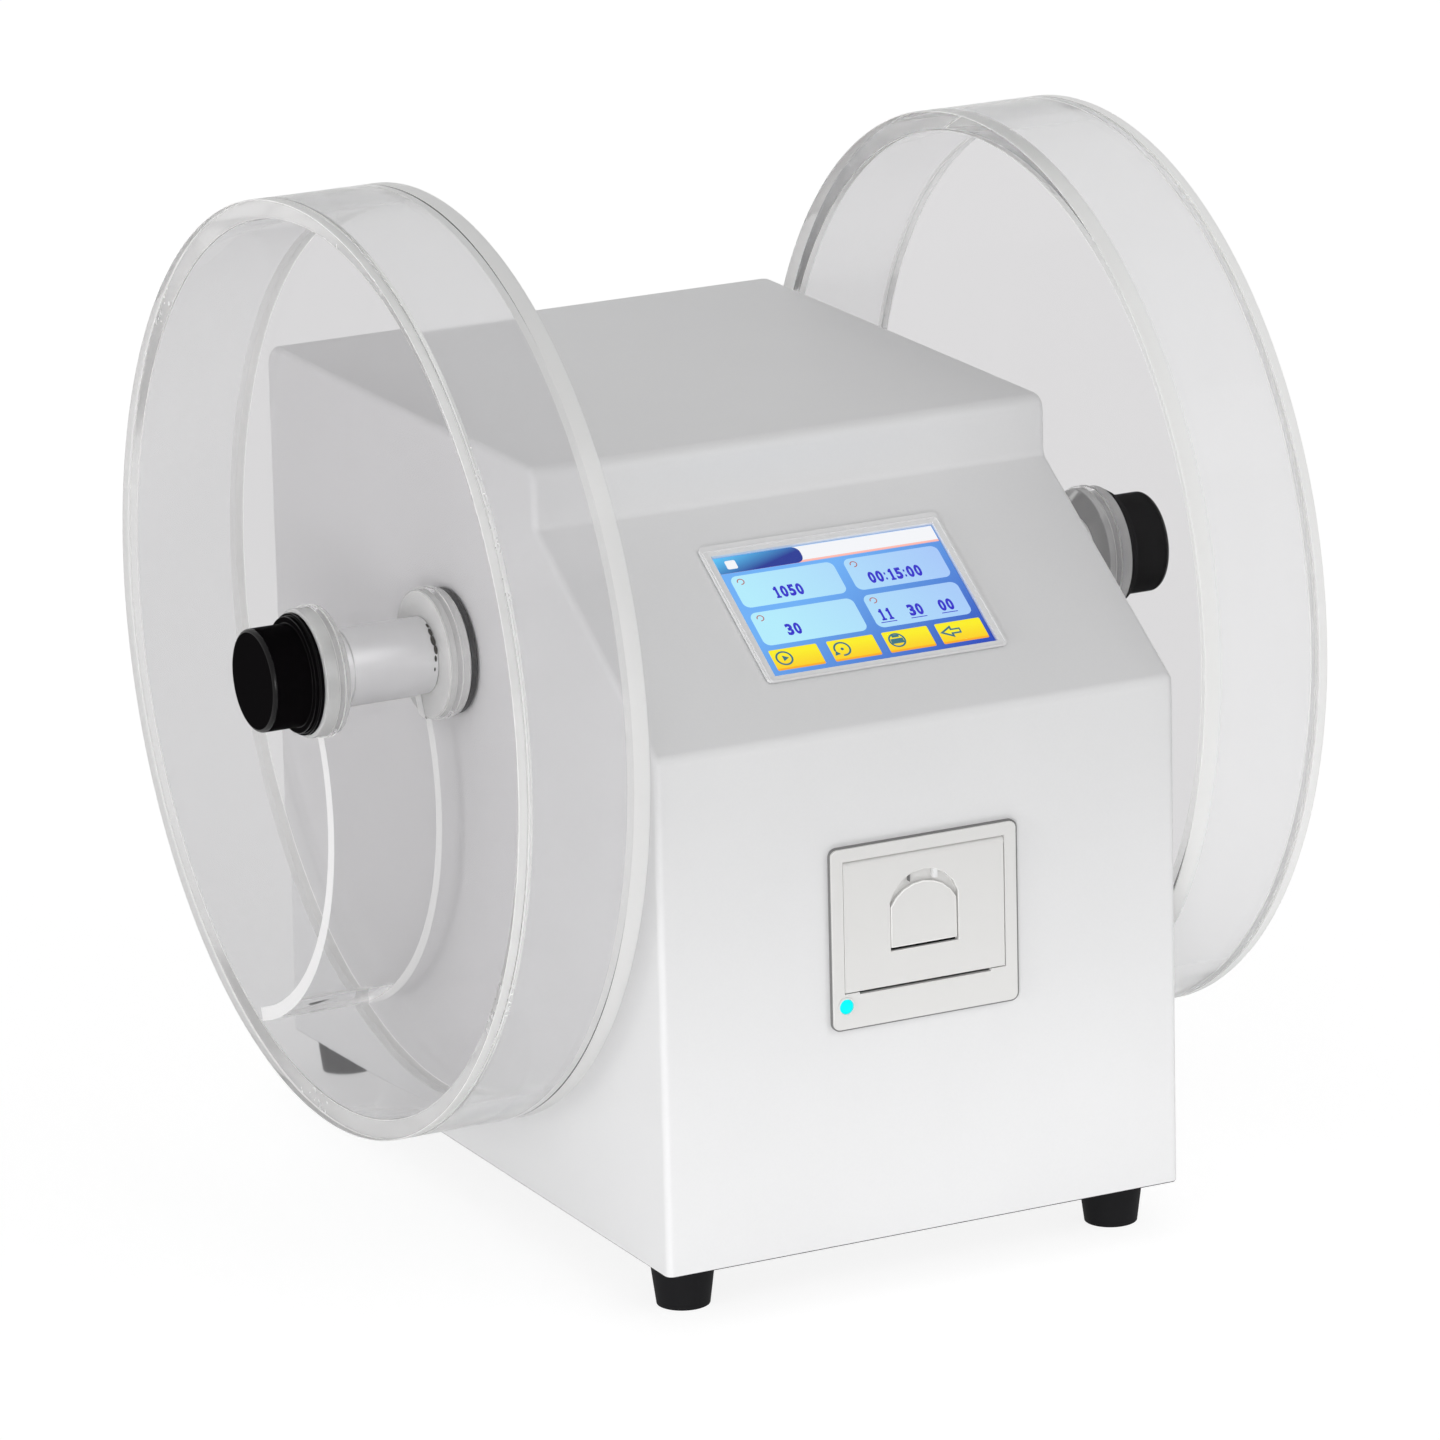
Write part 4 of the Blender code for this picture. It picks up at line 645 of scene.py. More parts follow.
def acrylic(name, tint, rough, spread, scale, depth, clear, bend, gloss=0.1, shadow=None):
    """Clear or milky acrylic that lets the lamps' light through."""
    tone = (*getattr(settings("drum"), tint), 1)
    material, tree, shader = blank(name, {"Base Color": tone, "IOR": bend, "Transmission Weight": clear,
                                          "Specular Tint": (gloss, gloss, gloss, 1)})
    marks = effect(tree, "grain", Scale=scale)
    between(tree, marks["Mask"], rough, rough + spread, shader.inputs["Roughness"])
    if depth:
        bump(tree, marks["Height"], 0.4, depth, shader.inputs["Normal"])
    through = tree.nodes.new("ShaderNodeBsdfTransparent")
    through.inputs["Color"].default_value = (*[shadow or 0.6 + 0.39 * clear] * 3, 1)
    ray = tree.nodes.new("ShaderNodeLightPath").outputs["Is Shadow Ray"]
    mixed(tree, ray, shader, through, "Material Output")
    return material


def lit(name, tone, far_tone, fade):
    """A colour of the lit picture, which fades to another across and down the screen."""
    material, tree, shader = blank(name, {"Roughness": 0.3, "Emission Strength": 0.95, "Coat Weight": 0.1,
                                          "Coat Roughness": 0.08, "Specular IOR Level": 0.15})
    across, down, start = fade
    picture = effect(tree, "picture", Across=across, Down=down, Start=start)
    shade(tree, picture["Fade"], tone, far_tone, shader.inputs["Emission Color"])
    shade(tree, picture["Dots"], (0.01, 0.01, 0.012), (0.03, 0.03, 0.034), shader.inputs["Base Color"])
    return material


def board_finish():
    """Green lacquered circuit board."""
    material, tree, shader = blank("circuit_board", {})
    marks = effect(tree, "board")
    shade(tree, marks["Mask"], (0.01, 0.10, 0.045), (0.02, 0.17, 0.07), shader.inputs["Base Color"])
    between(tree, marks["Mask"], 0.3, 0.42, shader.inputs["Roughness"])
    bump(tree, marks["Height"], 0.3, 0.02, shader.inputs["Normal"])
    return material


def lamp_finish():
    """Lit cyan lens."""
    tone = settings("printer").lamp
    material, tree, shader = blank("lamp_lens", {"Roughness": 0.12, "Emission Strength": 0.95,
                                                 "Specular IOR Level": 0.1})
    mask = effect(tree, "grain", Scale=600)["Mask"]
    shade(tree, mask, [c * 0.92 for c in tone], tone, shader.inputs["Emission Color"])
    shade(tree, mask, (0.0, 0.1, 0.12), (0.0, 0.16, 0.18), shader.inputs["Base Color"])
    return material


# Each look: name, tone or the setting that holds it, brightness, roughness, metallic, marks, their scale,
# their depth in mm, contrast and, where it isn't plain, specular level
SOLIDS = {
    "coat": ("powder_coat", "case coat", 1, 0.46, 0, "grain", 1300, 0.05, 0.045),
    "inside": ("tray_coat", "case inside", 1, 0.5, 0, "grain", 1100, 0.03, 0.05),
    "bezel": ("bezel_coat", "case coat", 1.06, 0.4, 0, "grain", 1500, 0.012, 0.02),
    "plastic": ("printer_plastic", "printer plastic", 1, 0.42, 0, "grain", 1400, 0.012, 0.02),
    # The printer's rounded edges: its plastic painted lighter, a painted highlight.
    "plastic_painted_highlight": ("printer_edge", "printer plastic", 1.35, 0.3, 0, "grain", 1400, 0.012, 0.02),
    "knob": ("knob_plastic", "hub knob", 1, 0.3, 0, "grain", 900, 0.006, 0.2, 0.001),
    "knob_rim": ("knob_rim", "hub knob", 1, 0.25, 0, "grain", 900, 0.006, 0.2, 0.25),
    "rubber": ("rubber", (0.008, 0.008, 0.009), 1, 0.7, 0, "grain", 1600, 0.03, 0.2, 0.15),
    "black": ("black_plastic", (0.02, 0.02, 0.021), 1, 0.42, 0, "grain", 1500, 0.02, 0.2),
    # Grey gasket colour, also used as painted shadow round the printer's flange and on the pocket's thin rib.
    "gasket": ("grey_gasket", (0.2, 0.2, 0.2), 1, 0.6, 0, "grain", 1600, 0.02, 0.1),
    "roller": ("roller_rubber", (0.035, 0.035, 0.037), 1, 0.6, 0, "grain", 1200, 0.02, 0.2),
    "paper": ("paper", (0.86, 0.85, 0.82), 1, 0.9, 0, "grain", 1800, 0.02, 0.03),
    "glue": ("dark_adhesive", (0.03, 0.025, 0.02), 1, 0.3, 0, "grain", 900, 0.03, 0.3),
    "zinc": ("zinc_plate", (0.60, 0.61, 0.63), 1, 0.36, 1, "grain", 240, 0.004, 0.1),
    "brass": ("brass", (0.72, 0.52, 0.22), 1, 0.3, 1, "grain", 700, 0.004, 0.05),
    "steel": ("ground_steel", (0.56, 0.56, 0.57), 1, 0.24, 1, "turning", 900, 0.004, 0.05),
    "aluminium": ("turned_aluminium", "hub metal", 1, 0.45, 0.8, "turning", 2200, 0.004, 0.03),
}
# Each look: name, tint, roughness, its spread, scale and depth in mm of the grain, share of clear, bending of
# light and, where they aren't plain, strength of reflections and brightness of shadows
ACRYLICS = {
    # The left drum's looks are darker copies of the right's: painted shade.
    "clear_left": ("clear_acrylic_left", "left_tint", 0, 0.006, 40, 0, 1, 1.06, 0),
    "clear_right": ("clear_acrylic_right", "right_tint", 0, 0.006, 40, 0, 1, 1.06, 0),
    "vane": ("curved_acrylic", "vane_tint", 0, 0.006, 40, 0, 1, 1.06, 0),
    "ring_left": ("bent_acrylic_left", "left_ring", 0.02, 0.05, 60, 0, 0.9, 1.3),
    "ring_right": ("bent_acrylic_right", "right_ring", 0.02, 0.05, 60, 0, 0.8, 1.3),
    "bond": ("bonded_acrylic", "edge_tint", 0.15, 0.2, 300, 0, 0.6, 1.2),
    "edge": ("sawn_acrylic", "edge_tint", 0.3, 0.2, 1500, 0.02, 0.45, 1.15, 0.1, 0.5),
    "vane_edge": ("vane_edge", "boss_tint", 0.3, 0.2, 1500, 0.02, 0.15, 1.15),
    "clear_boss": ("clear_boss", "boss_tint", 0.2, 0.1, 900, 0, 0.66, 1.25),
    "boss": ("turned_acrylic", "boss_tint", 0.16, 0.15, 900, 0.006, 0.5, 1.49),
}
OTHERS = {"board": board_finish, "lamp": lamp_finish}
FINISHES = {}


def finish(look):
    """One of the object's finishes, made when it is first used."""
    if look not in FINISHES:
        if look in SOLIDS:
            FINISHES[look] = solid(*SOLIDS[look])
        elif look in ACRYLICS:
            FINISHES[look] = acrylic(*ACRYLICS[look])
        else:
            FINISHES[look] = OTHERS[look]()
    return FINISHES[look]


def dress(name, node, look, slot, edge=0):
    """Shows a frame node's own shape with rounded edges and a finish."""
    stands_for(smooth(paint(from_node(name, node, edge), finish(look))), slot, node)


def add_on(piece, look, body="case"):
    """Finishes a small piece that stands for no node."""
    rides(smooth(paint(piece, finish(look))), body)


# Pieces of the case

class TESTER_OT_case(bpy.types.Operator):
    """Dresses the bent case and its base tray"""
    bl_idname = "object.tester_case"
    bl_label = "Case"

    def execute(self, context):
        case = settings("case")
        dress("case_skin", "case_shell", "coat", "white_powder_coat")
        low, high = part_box("case_shell")
        inset = case.seal_inset
        # A dark rubber strip under the walls: painted shade, a dark line along the case's bottom edge where only the
        # shadow between case and floor falls.
        seal = block("edge_seal", (low.x + inset, low.y + inset, low.z - case.seal),
                     (high.x - inset, high.y - inset, low.z))
        upright_corners(seal, 2 * MM, "z")
        inner = block("inner", (low.x + MM, low.y + MM, 0), (high.x - MM, high.y - MM, high.z))
        soften(cut(seal, inner), case.seal / 4, 1)
        rides(paint(seal, finish("rubber")), "case")
        dress("tray", "base_tray", "inside", "grey_plate", case.edge)
        return {"FINISHED"}


# A pan head's outline and its cross, as shares of its height and radius
PAN_HEAD = ((0, 0.97), (0.35, 1), (0.7, 0.93), (0.92, 0.72), (1, 0.45))
CROSS_REACH, CROSS_HALF_WIDTH, CROSS_FLOOR = 0.55, 0.12, 0.45


def cross_screw(name, radius, height):
    """A pan-head screw with a cross recess, its head up, standing on the origin."""
    screw = lathe(name, [(height * up, radius * out) for up, out in PAN_HEAD], 32)
    for turn in (ACROSS, BACK):
        reach_out, half = radius * CROSS_REACH, radius * CROSS_HALF_WIDTH
        arm = block("arm", (-reach_out, -half, height * CROSS_FLOOR), (reach_out, half, height * 2))
        cut(screw, placed(arm, across=turn))
    return smooth(screw)


# The inlet's pins: places across and up from its middle, half their width and height, and the depths at which
# they start and end, in mm
PIN_PLACES = ((-7, 0), (0, 2), (7, 0))
PIN_HALF_WIDTH, PIN_HALF_HEIGHT, PIN_START, PIN_END = 1.06, 2.06, -16, -5.9


class TESTER_OT_rear(bpy.types.Operator):
    """Dresses the rear panel with its screws, mains inlet and switch"""
    bl_idname = "object.tester_rear"
    bl_label = "Rear panel"

    def execute(self, context):
        case = settings("case")
        low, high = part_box("rear_panel")
        dress("rear_cover", "rear_panel", "coat", "white_powder_coat", case.edge)
        first = cross_screw("rear_screw", case.screw_radius, case.screw_height)
        screws = []
        heights = (low.z + case.screw_inset, (low.z + high.z) / 2, high.z - case.screw_inset)
        for across in (low.x + case.screw_inset, high.x - case.screw_inset):
            for height in heights:
                screw = twin(first, "rear_screw_%d" % (len(screws) + 1))
                screws.append(placed(screw, (across, high.y + CLOSE, height), BACK))
        bpy.data.objects.remove(first)
        rides(paint(joined("rear_screws", screws), finish("steel")), "case")
        dress("mains_inlet", "power_inlet", "black", "black_plastic", 0.3 * MM)
        self.pins()
        dress("switch_frame", "switch_body", "black", "black_plastic", 0.25 * MM)
        dress("rocker", "switch_rocker", "black", "black_plastic", 0.25 * MM)
        return {"FINISHED"}

    def pins(self):
        """The inlet's three plated pins."""
        low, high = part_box("power_inlet")
        middle = (low + high) / 2
        pins = []
        for across, rise in PIN_PLACES:
            place = Vector((middle.x + across * MM, high.y, middle.z + rise * MM))
            near = Vector((-PIN_HALF_WIDTH, PIN_START, -PIN_HALF_HEIGHT)) * MM
            far = Vector((PIN_HALF_WIDTH, PIN_END, PIN_HALF_HEIGHT)) * MM
            pins.append(block("inlet_pin", place + near, place + far, 0.5 * MM, 3))
        add_on(joined("inlet_pins", pins), "zinc")


class TESTER_OT_feet(bpy.types.Operator):
    """Models one rubber foot with its screw and copies it to the four corners"""
    bl_idname = "object.tester_feet"
    bl_label = "Feet"

    def execute(self, context):
        case = settings("case")
        low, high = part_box("foot_front_left")
        radius, height = (high.x - low.x) / 2, high.z
        tip, step, shoulder = radius * 0.815, height * 0.86, radius * 0.985
        profile = [(case.foot_recess, case.foot_bore), (0, case.foot_bore), (0, tip), (step, shoulder),
                   (step, radius), (height, radius)]
        foot = soften(lathe("foot", profile, 64), 1.3 * MM, 4, degrees=55)
        smooth(paint(foot, finish("rubber")))
        screw = cross_screw("foot_screw", 3.2 * MM, 2 * MM)
        placed(screw, (0, 0, case.foot_recess), -UP)
        paint(screw, finish("steel"))
        for corner in ("front_left", "front_right", "rear_left", "rear_right"):
            node = "foot_" + corner
            low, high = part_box(node)
            middle = Vector(((low.x + high.x) / 2, (low.y + high.y) / 2, 0))
            stands_for(placed(twin(foot, "rubber_" + node), middle), "black_rubber", node)
            rides(placed(twin(screw, "screw_" + node), middle), "case")
        bpy.data.objects.remove(foot)
        bpy.data.objects.remove(screw)
        return {"FINISHED"}


# Pieces of the drums

class TESTER_OT_drums(bpy.types.Operator):
    """Models the clear drums: bonded ring and inner wall, removable outer wall and curved baffle"""
    bl_idname = "object.tester_drums"
    bl_label = "Drums"

    def execute(self, context):
        drum = settings("drum")
        for side, word in SIDES.items():
            self.chamber(drum, side, word)
            self.cover(drum, side, word)
            self.baffle(drum, word)
        return {"FINISHED"}

    def chamber(self, drum, side, word):
        """The ring bonded to the inner wall, whose rim and edges are sawn."""
        back, wall, bore, radius = reach("drum_back_" + word)
        _, end, inside, _ = reach("drum_ring_" + word)
        seam, lip = wall + drum.bond, end - drum.bond / 2
        profile = [(back, bore), (back, radius), (wall, radius), (seam, radius), (lip, radius), (end, radius),
                   (end, inside), (seam, inside), (wall, inside), (wall, bore)]
        cup = on_axle(lathe("drum_chamber_" + word, profile, drum.sides, hollow=True), side)
        paint(cup, finish("clear_" + word), finish("edge"), finish("ring_" + word), finish("bond"))
        past = end + MM
        for slot, near, far, least in ((2, wall + CLOSE, past, inside - CLOSE * 10),
                                       (1, 0, wall, radius - CLOSE * 10), (1, wall + CLOSE, seam, inside - MM),
                                       (3, lip, past, radius - MM), (3, end - CLOSE, past, 0)):
            coat(cup, slot, zone(near, far, least))
        smooth(soften(cup, drum.chamfer, 2, 1))
        stands_for(cup, "clear_acrylic", "drum_back_" + word, "drum_ring_" + word)

    def cover(self, drum, side, word):
        """The outer wall that slides off."""
        node = "drum_cover_" + word
        _, far, _, radius = reach(node)
        plate = sleeve("drum_door_" + word, node, side, drum.sides)
        paint(plate, finish("clear_" + word), finish("edge"))
        coat(plate, 1, zone(0, far + MM, radius - CLOSE * 4))
        smooth(soften(plate, drum.chamfer, 2, 1))
        stands_for(plate, "clear_acrylic", node)

    def baffle(self, drum, word):
        """The curved vane."""
        vane = from_node("baffle_" + word, "drum_baffle_" + word)
        paint(vane, finish("vane"), finish("vane_edge"))
        narrow = 200 * MM * MM
        coat(vane, 1, lambda face: abs(face.normal.x) > 0.5 or face.calc_area() < narrow)
        smooth(soften(vane, drum.chamfer, 2, 1))
        stands_for(vane, "clear_acrylic", "drum_baffle_" + word)


# Specks of adhesive at a hub tube's inner end: direction in degrees, size and distance from the end in mm
SPECKS = ((118, 0.6, 0.5), (131, 0.9, 0.6), (145, 1.1, 0.7), (159, 0.9, 0.5), (172, 0.6, 0.9), (188, 0.4, 1.3))
SPECK_SHAPE = (0.7, 1.7, 0.35)
KNOB_EDGE_STEPS = 8


class TESTER_OT_hubs(bpy.types.Operator):
    """Models the bosses, washers, turned tubes and knobs on the shaft"""
    bl_idname = "object.tester_hubs"
    bl_label = "Hubs and knobs"

    def execute(self, context):
        hub = settings("hub")
        dress("axle", "main_shaft", "steel", "steel")
        for side, word in SIDES.items():
            self.boss(hub, "hub_boss_" + word, "inner_boss_" + word, side, "boss", "edge")
            self.boss(hub, "cover_boss_" + word, "outer_boss_" + word, side, "clear_boss", "clear_boss")
            washer = sleeve("spacer_" + word, "hub_washer_" + word, side, hub.sides)
            smooth(soften(washer, 0.3 * MM, 3))
            stands_for(paint(washer, finish("black")), "black_rubber", "hub_washer_" + word)
            self.tube(hub, side, word)
            self.knob(hub, side, word)
        return {"FINISHED"}

    def boss(self, hub, node, name, side, look, edges):
        """A clear boss with turned outside and a bore."""
        boss = sleeve(name, node, side, hub.sides)
        paint(boss, finish(look), finish(edges))
        smooth(soften(boss, 0.5 * MM, 3, 1))
        stands_for(boss, "milky_acrylic", node)

    def tube(self, hub, side, word):
        """The turned tube with its narrower neck and a few specks of adhesive at its inner end."""
        near, far, bore, radius = reach("hub_tube_" + word)
        neck, step = radius - hub.neck_step, far - hub.neck
        profile = [(near, bore), (near, radius), (step, radius), (step, neck), (far, neck), (far, bore)]
        tube = on_axle(lathe("hub_sleeve_" + word, profile, hub.sides, True), side)
        smooth(soften(paint(tube, finish("aluminium")), 0.25 * MM))
        stands_for(tube, "turned_aluminium", "hub_tube_" + word)
        specks = []
        for turn, size, shift in SPECKS:
            speck = added("speck", bpy.ops.mesh.primitive_ico_sphere_add, subdivisions=2, radius=size * MM)
            speck.scale = SPECK_SHAPE
            applied(speck)
            out = Vector((0, *direction(turn)))
            place = Vector((side * (near + shift * MM), 0, AXLE)) + out * (radius + 0.05 * MM)
            specks.append(placed(speck, place, out))
        add_on(joined("adhesive_" + word, specks), "glue", "rotor")

    def knob(self, hub, side, word):
        """The black knob: a round cap on a flange with a stepped rim."""
        near, far, bore, flange = reach("knob_" + word)
        cap, seat, radius = flange - hub.flange_step, near + hub.flange, max(bore, hub.thread)
        rim, second, edge = near + hub.rim_first, flange - hub.rim_step, hub.knob_edge
        profile = [(seat + hub.bore_depth, radius), (near, radius), (near, flange), (rim, flange), (rim, second),
                   (seat, second), (seat, cap), (far - edge, cap)]
        for step in range(1, KNOB_EDGE_STEPS + 1):
            cosine, sine = direction(90 * step / KNOB_EDGE_STEPS)
            profile.append((far - edge * (1 - sine), cap - edge * (1 - cosine)))
        knob = on_axle(lathe("knob_cap_" + word, profile, hub.sides), side)
        paint(knob, finish("knob"), finish("knob_rim"))
        soften(knob, 0.2 * MM, 2, 1)
        smooth(coat(knob, 1, zone(far - edge, far - CLOSE)))
        stands_for(knob, "black_plastic", "knob_" + word)


# Pieces of the screen

def slope_frame():
    """Centre of the glass's top face, and the slope's outward direction."""
    low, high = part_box("screen_glass")
    slope = settings("screen").slope
    out = Vector((0, -math.sin(slope), math.cos(slope)))
    top = max(v.co.dot(out) for v in frame["nodes"]["screen_glass"].data.vertices)
    middle = (low + high) / 2
    return middle + out * (top - middle.dot(out)), out


def onto_slope(piece):
    """Lays a piece of the picture, modelled flat at the origin, on the glass."""
    return placed(piece, *slope_frame(), ACROSS)


def spot(across, down):
    """Flat place of a point given in shares of the lit area."""
    screen = settings("screen")
    return (across - 0.5) * screen.width, (0.5 - down) * screen.height


def tile(left, top, right, bottom, corner, level):
    """A flat piece of the picture in shares of the lit area, with rounded corners in mm."""
    layer = settings("screen").layer
    (x0, y0), (x1, y1) = spot(left, top), spot(right, bottom)
    piece = added("tile", bpy.ops.mesh.primitive_plane_add, size=1,
                  location=((x0 + x1) / 2, (y0 + y1) / 2, level * layer))
    piece.scale = (x1 - x0, y0 - y1, 1)
    open_whole(applied(piece))
    if corner:
        bpy.ops.mesh.bevel(offset=corner * MM, segments=6, affect="VERTICES")
        bpy.ops.mesh.select_all(action="SELECT")
    return raised(piece, layer)


def digit(text, across, down, height, width, level):
    """One digit of the picture, its height and width in shares of the lit area."""
    screen = settings("screen")
    piece = added("digit", bpy.ops.object.text_add)
    piece.data.body = text
    piece.data.offset = 0.05
    piece.data.resolution_u = 4
    bpy.ops.object.convert(target="MESH")
    xs = [v.co.x for v in piece.data.vertices]
    ys = [v.co.y for v in piece.data.vertices]
    x, y = spot(across, down)
    wide, high = width * screen.width / (max(xs) - min(xs)), height * screen.height / (max(ys) - min(ys))
    piece.scale = (wide, high, 1)
    piece.location = (x - wide * (max(xs) + min(xs)) / 2, y - high * (max(ys) + min(ys)) / 2, level * screen.layer)
    open_whole(applied(piece))
    bpy.ops.mesh.remove_doubles(threshold=CLOSE / 20)
    return raised(piece, screen.layer / 2)


def reading(text, across, down, height, width, level):
    """A number set digit by digit in even cells, with an upright one that has a flag and a foot."""
    cells = [0.5 if character == ":" else 1 for character in text]
    cell = width / (sum(cells) - 0.12)
    start = across - width / 2 - cell * 0.06
    top, bottom = down - height / 2, down + height / 2
    pieces = []
    for character, share in zip(text, cells):
        middle = start + cell * share / 2
        start += cell * share
        if character == "1":
            for left, upper, right, lower, lift in ((-0.08, 0, 0.22, 1, 0), (-0.24, 0.12, -0.08, 0.3, 0),
                                                    (-0.24, 0.85, 0.38, 1, 0.1)):
                pieces.append(tile(middle + cell * left, top + height * upper, middle + cell * right,
                                   top + height * lower, 0, level + lift))
        elif character == ":":
            pieces += [tile(middle - cell * 0.1, down + height * shift, middle + cell * 0.1,
                            down + height * (shift + 0.18), 0, level) for shift in (-0.25, 0.2)]
        else:
            pieces.append(digit(character, middle, down, height, cell * 0.84, level))
    return pieces


def arc(across, down, radius, width, level, gap=0):
    """A ring of the picture, or an arc with a gap in degrees at its lower left. Radius and width in mm."""
    layer = settings("screen").layer
    profile = band(level * layer, (level + 0.5) * layer, (radius - width) * MM, radius * MM)
    piece = lathe("arc", profile, 32, hollow=True)
    if gap:
        def in_gap(face):
            middle = face.calc_center_median()
            return abs(math.degrees(math.atan2(middle.y, middle.x)) + 135) < gap / 2

        choose(piece, "FACE", in_gap)
        bpy.ops.mesh.delete(type="FACE")
        choose(piece, "EDGE", lambda edge: len(edge.link_faces) == 1)
        bpy.ops.mesh.fill_holes(sides=4)
        closed(piece)
    return placed(piece, (*spot(across, down), 0))


def wedge(across, down, size, turn, level, sides=3):
    """A small triangle or dot of the picture. Size in mm, turn in degrees."""
    layer = settings("screen").layer
    piece = added("wedge", bpy.ops.mesh.primitive_circle_add, vertices=sides, radius=size * MM, fill_type="NGON")
    open_whole(piece)
    raised(piece, layer / 2)
    return placed(piece, (*spot(across, down), level * layer), UP, (*direction(turn), 0))


# Readings: text, place across and down and width, in shares of the lit area
READINGS = (("1050", 0.247, 0.342, 0.135), ("00:15:00", 0.732, 0.342, 0.24), ("30", 0.184, 0.648, 0.066),
            ("11", 0.5985, 0.648, 0.062), ("30", 0.735, 0.648, 0.066), ("00", 0.8745, 0.648, 0.066))
READING_HEIGHT = 0.095
# Left and right ends of the panels and buttons, and the places of the panels' small pictures
PANEL_SPANS, PANEL_ROWS = ((0.03, 0.495), (0.54, 0.97)), ((0.165, 0.43), (0.475, 0.75))
PANEL_MARKS = ((0.07, 0.215), (0.58, 0.215), (0.07, 0.525), (0.58, 0.525))
BUTTON_SPANS = ((0.028, 0.242), (0.2875, 0.496), (0.536, 0.742), (0.777, 0.982))
BUTTON_ROW, ICON_INSET = 0.866, 0.052


class TESTER_OT_screen(bpy.types.Operator):
    """Dresses the bezel and lays the lit picture on the glass"""
    bl_idname = "object.tester_screen"
    bl_label = "Touch screen"

    def execute(self, context):
        screen = settings("screen")
        dress("bezel", "screen_bezel", "bezel", "light_plastic", 0.25 * MM)
        self.lip(screen)
        glass = smooth(from_node("cover_glass", "screen_glass", 0.15 * MM))
        field = lit("field_light", screen.field, screen.field_edge, (0.4, 0.4, 0.25))
        stands_for(paint(glass, field), "screen_glass", "screen_glass")
        self.title_bar(screen)
        self.panels(screen)
        self.numbers(screen)
        self.buttons(screen)
        return {"FINISHED"}

    def lip(self, screen):
        """A thin raised lip round the bezel, near its outer edge."""
        rims = []
        for grow, low, high in ((2.6, 0.8, 1.25), (2.1, 0, 3)):
            x, y = screen.width / 2 + grow * MM, screen.height / 2 + grow * MM
            rims.append(upright_corners(block("bezel_lip", (-x, -y, low * MM), (x, y, high * MM)), 1.2 * MM, "z"))
        add_on(onto_slope(soften(cut(*rims), 0.1 * MM)), "bezel")

    def show(self, name, pieces, tone, far_tone=None, fade=(0.5, 0, 0.5)):
        """Joins pieces of one colour, lights them and lays them on the glass."""
        piece = joined(name, pieces)
        paint(piece, lit(name + "_light", tone, far_tone or tone, fade))
        rides(onto_slope(piece), "case")

    def title_bar(self, screen):
        """White bar, its pink line and the dark tab with a white square."""
        self.show("title_bar", [tile(0.004, 0.004, 0.996, 0.118, 0, 1)], screen.header)
        self.show("title_line", [tile(0.004, 0.118, 0.996, 0.135, 0, 1)], screen.header_line)
        tabs = [tile(0.004, 0.004, 0.3, 0.135, 0, 2), tile(0.15, 0.004, 0.385, 0.135, 2.6, 3)]
        self.show("title_tab", tabs, screen.tab_edge, screen.tab, (1.2, 2.6, 3.7))
        self.show("title_square", [tile(0.045, 0.035, 0.092, 0.105, 0.6, 4)], screen.header)

    def panels(self, screen):
        """Four pale panels with a small picture in each."""
        boxes = [tile(left, top, right, bottom, 2.4, 1) for left, right in PANEL_SPANS for top, bottom in PANEL_ROWS]
        self.show("picture_panels", boxes, screen.panel, screen.panel_edge, (0.45, -0.1, 0.35))
        marks = [arc(across, down, 1.25, 0.35, 2, 70) for across, down in PANEL_MARKS]
        self.show("panel_marks", marks, screen.mark)

    def numbers(self, screen):
        """The readings, with thin lines under those of the time."""
        pieces = []
        for text, across, down, width in READINGS:
            pieces += reading(text, across, down, READING_HEIGHT, width, 2)
        pieces += [tile(across - 0.036, 0.708, across + 0.036, 0.714, 0, 2) for _, across, _, _ in READINGS[3:]]
        self.show("picture_numbers", pieces, screen.digit)

    def buttons(self, screen):
        """Four yellow buttons with a lower edge and a picture each."""
        edges = [tile(left, 0.80, right, 0.958, 0.5, 1) for left, right in BUTTON_SPANS]
        self.show("button_edges", edges, screen.button_edge)
        faces = [tile(left, 0.79, right, 0.942, 0.5, 2) for left, right in BUTTON_SPANS]
        self.show("button_faces", faces, screen.button, screen.button_edge, (0, 2.2, -1.45))
        row = BUTTON_ROW
        play, repeat, printing, back = (left + ICON_INSET for left, _ in BUTTON_SPANS)
        pieces = [arc(play, row, 2.9, 0.65, 3), wedge(play + 0.003, row, 1.35, -90, 3),
                  arc(repeat, row, 2.9, 0.65, 3, 60), wedge(repeat - 0.03, row + 0.03, 1.2, 130, 3),
                  wedge(repeat, row, 0.55, 0, 3, 12),
                  arc(printing, row, 2.9, 0.6, 3),
                  tile(printing - 0.028, row - 0.014, printing + 0.028, row + 0.026, 0.3, 3),
                  tile(printing - 0.016, row - 0.044, printing + 0.016, row - 0.024, 0.1, 3),
                  wedge(back - 0.008, row, 2.9, 90, 3),
                  tile(back + 0.006, row - 0.022, back + 0.048, row + 0.022, 0.2, 3)]
        self.show("button_pictures", pieces, screen.icon)
        inner = [wedge(back - 0.008, row, 1.5, 90, 4.1),
                 tile(back - 0.002, row - 0.009, back + 0.041, row + 0.009, 0.1, 4)]
        self.show("arrow_middle", inner, screen.button)


# Pieces of the printer

PRINTER_PIECES = (("printer_flange", "printer_frame", 2), ("paper_door_panel", "printer_door", 1),
                  ("finger_lever", "door_lever", 1))


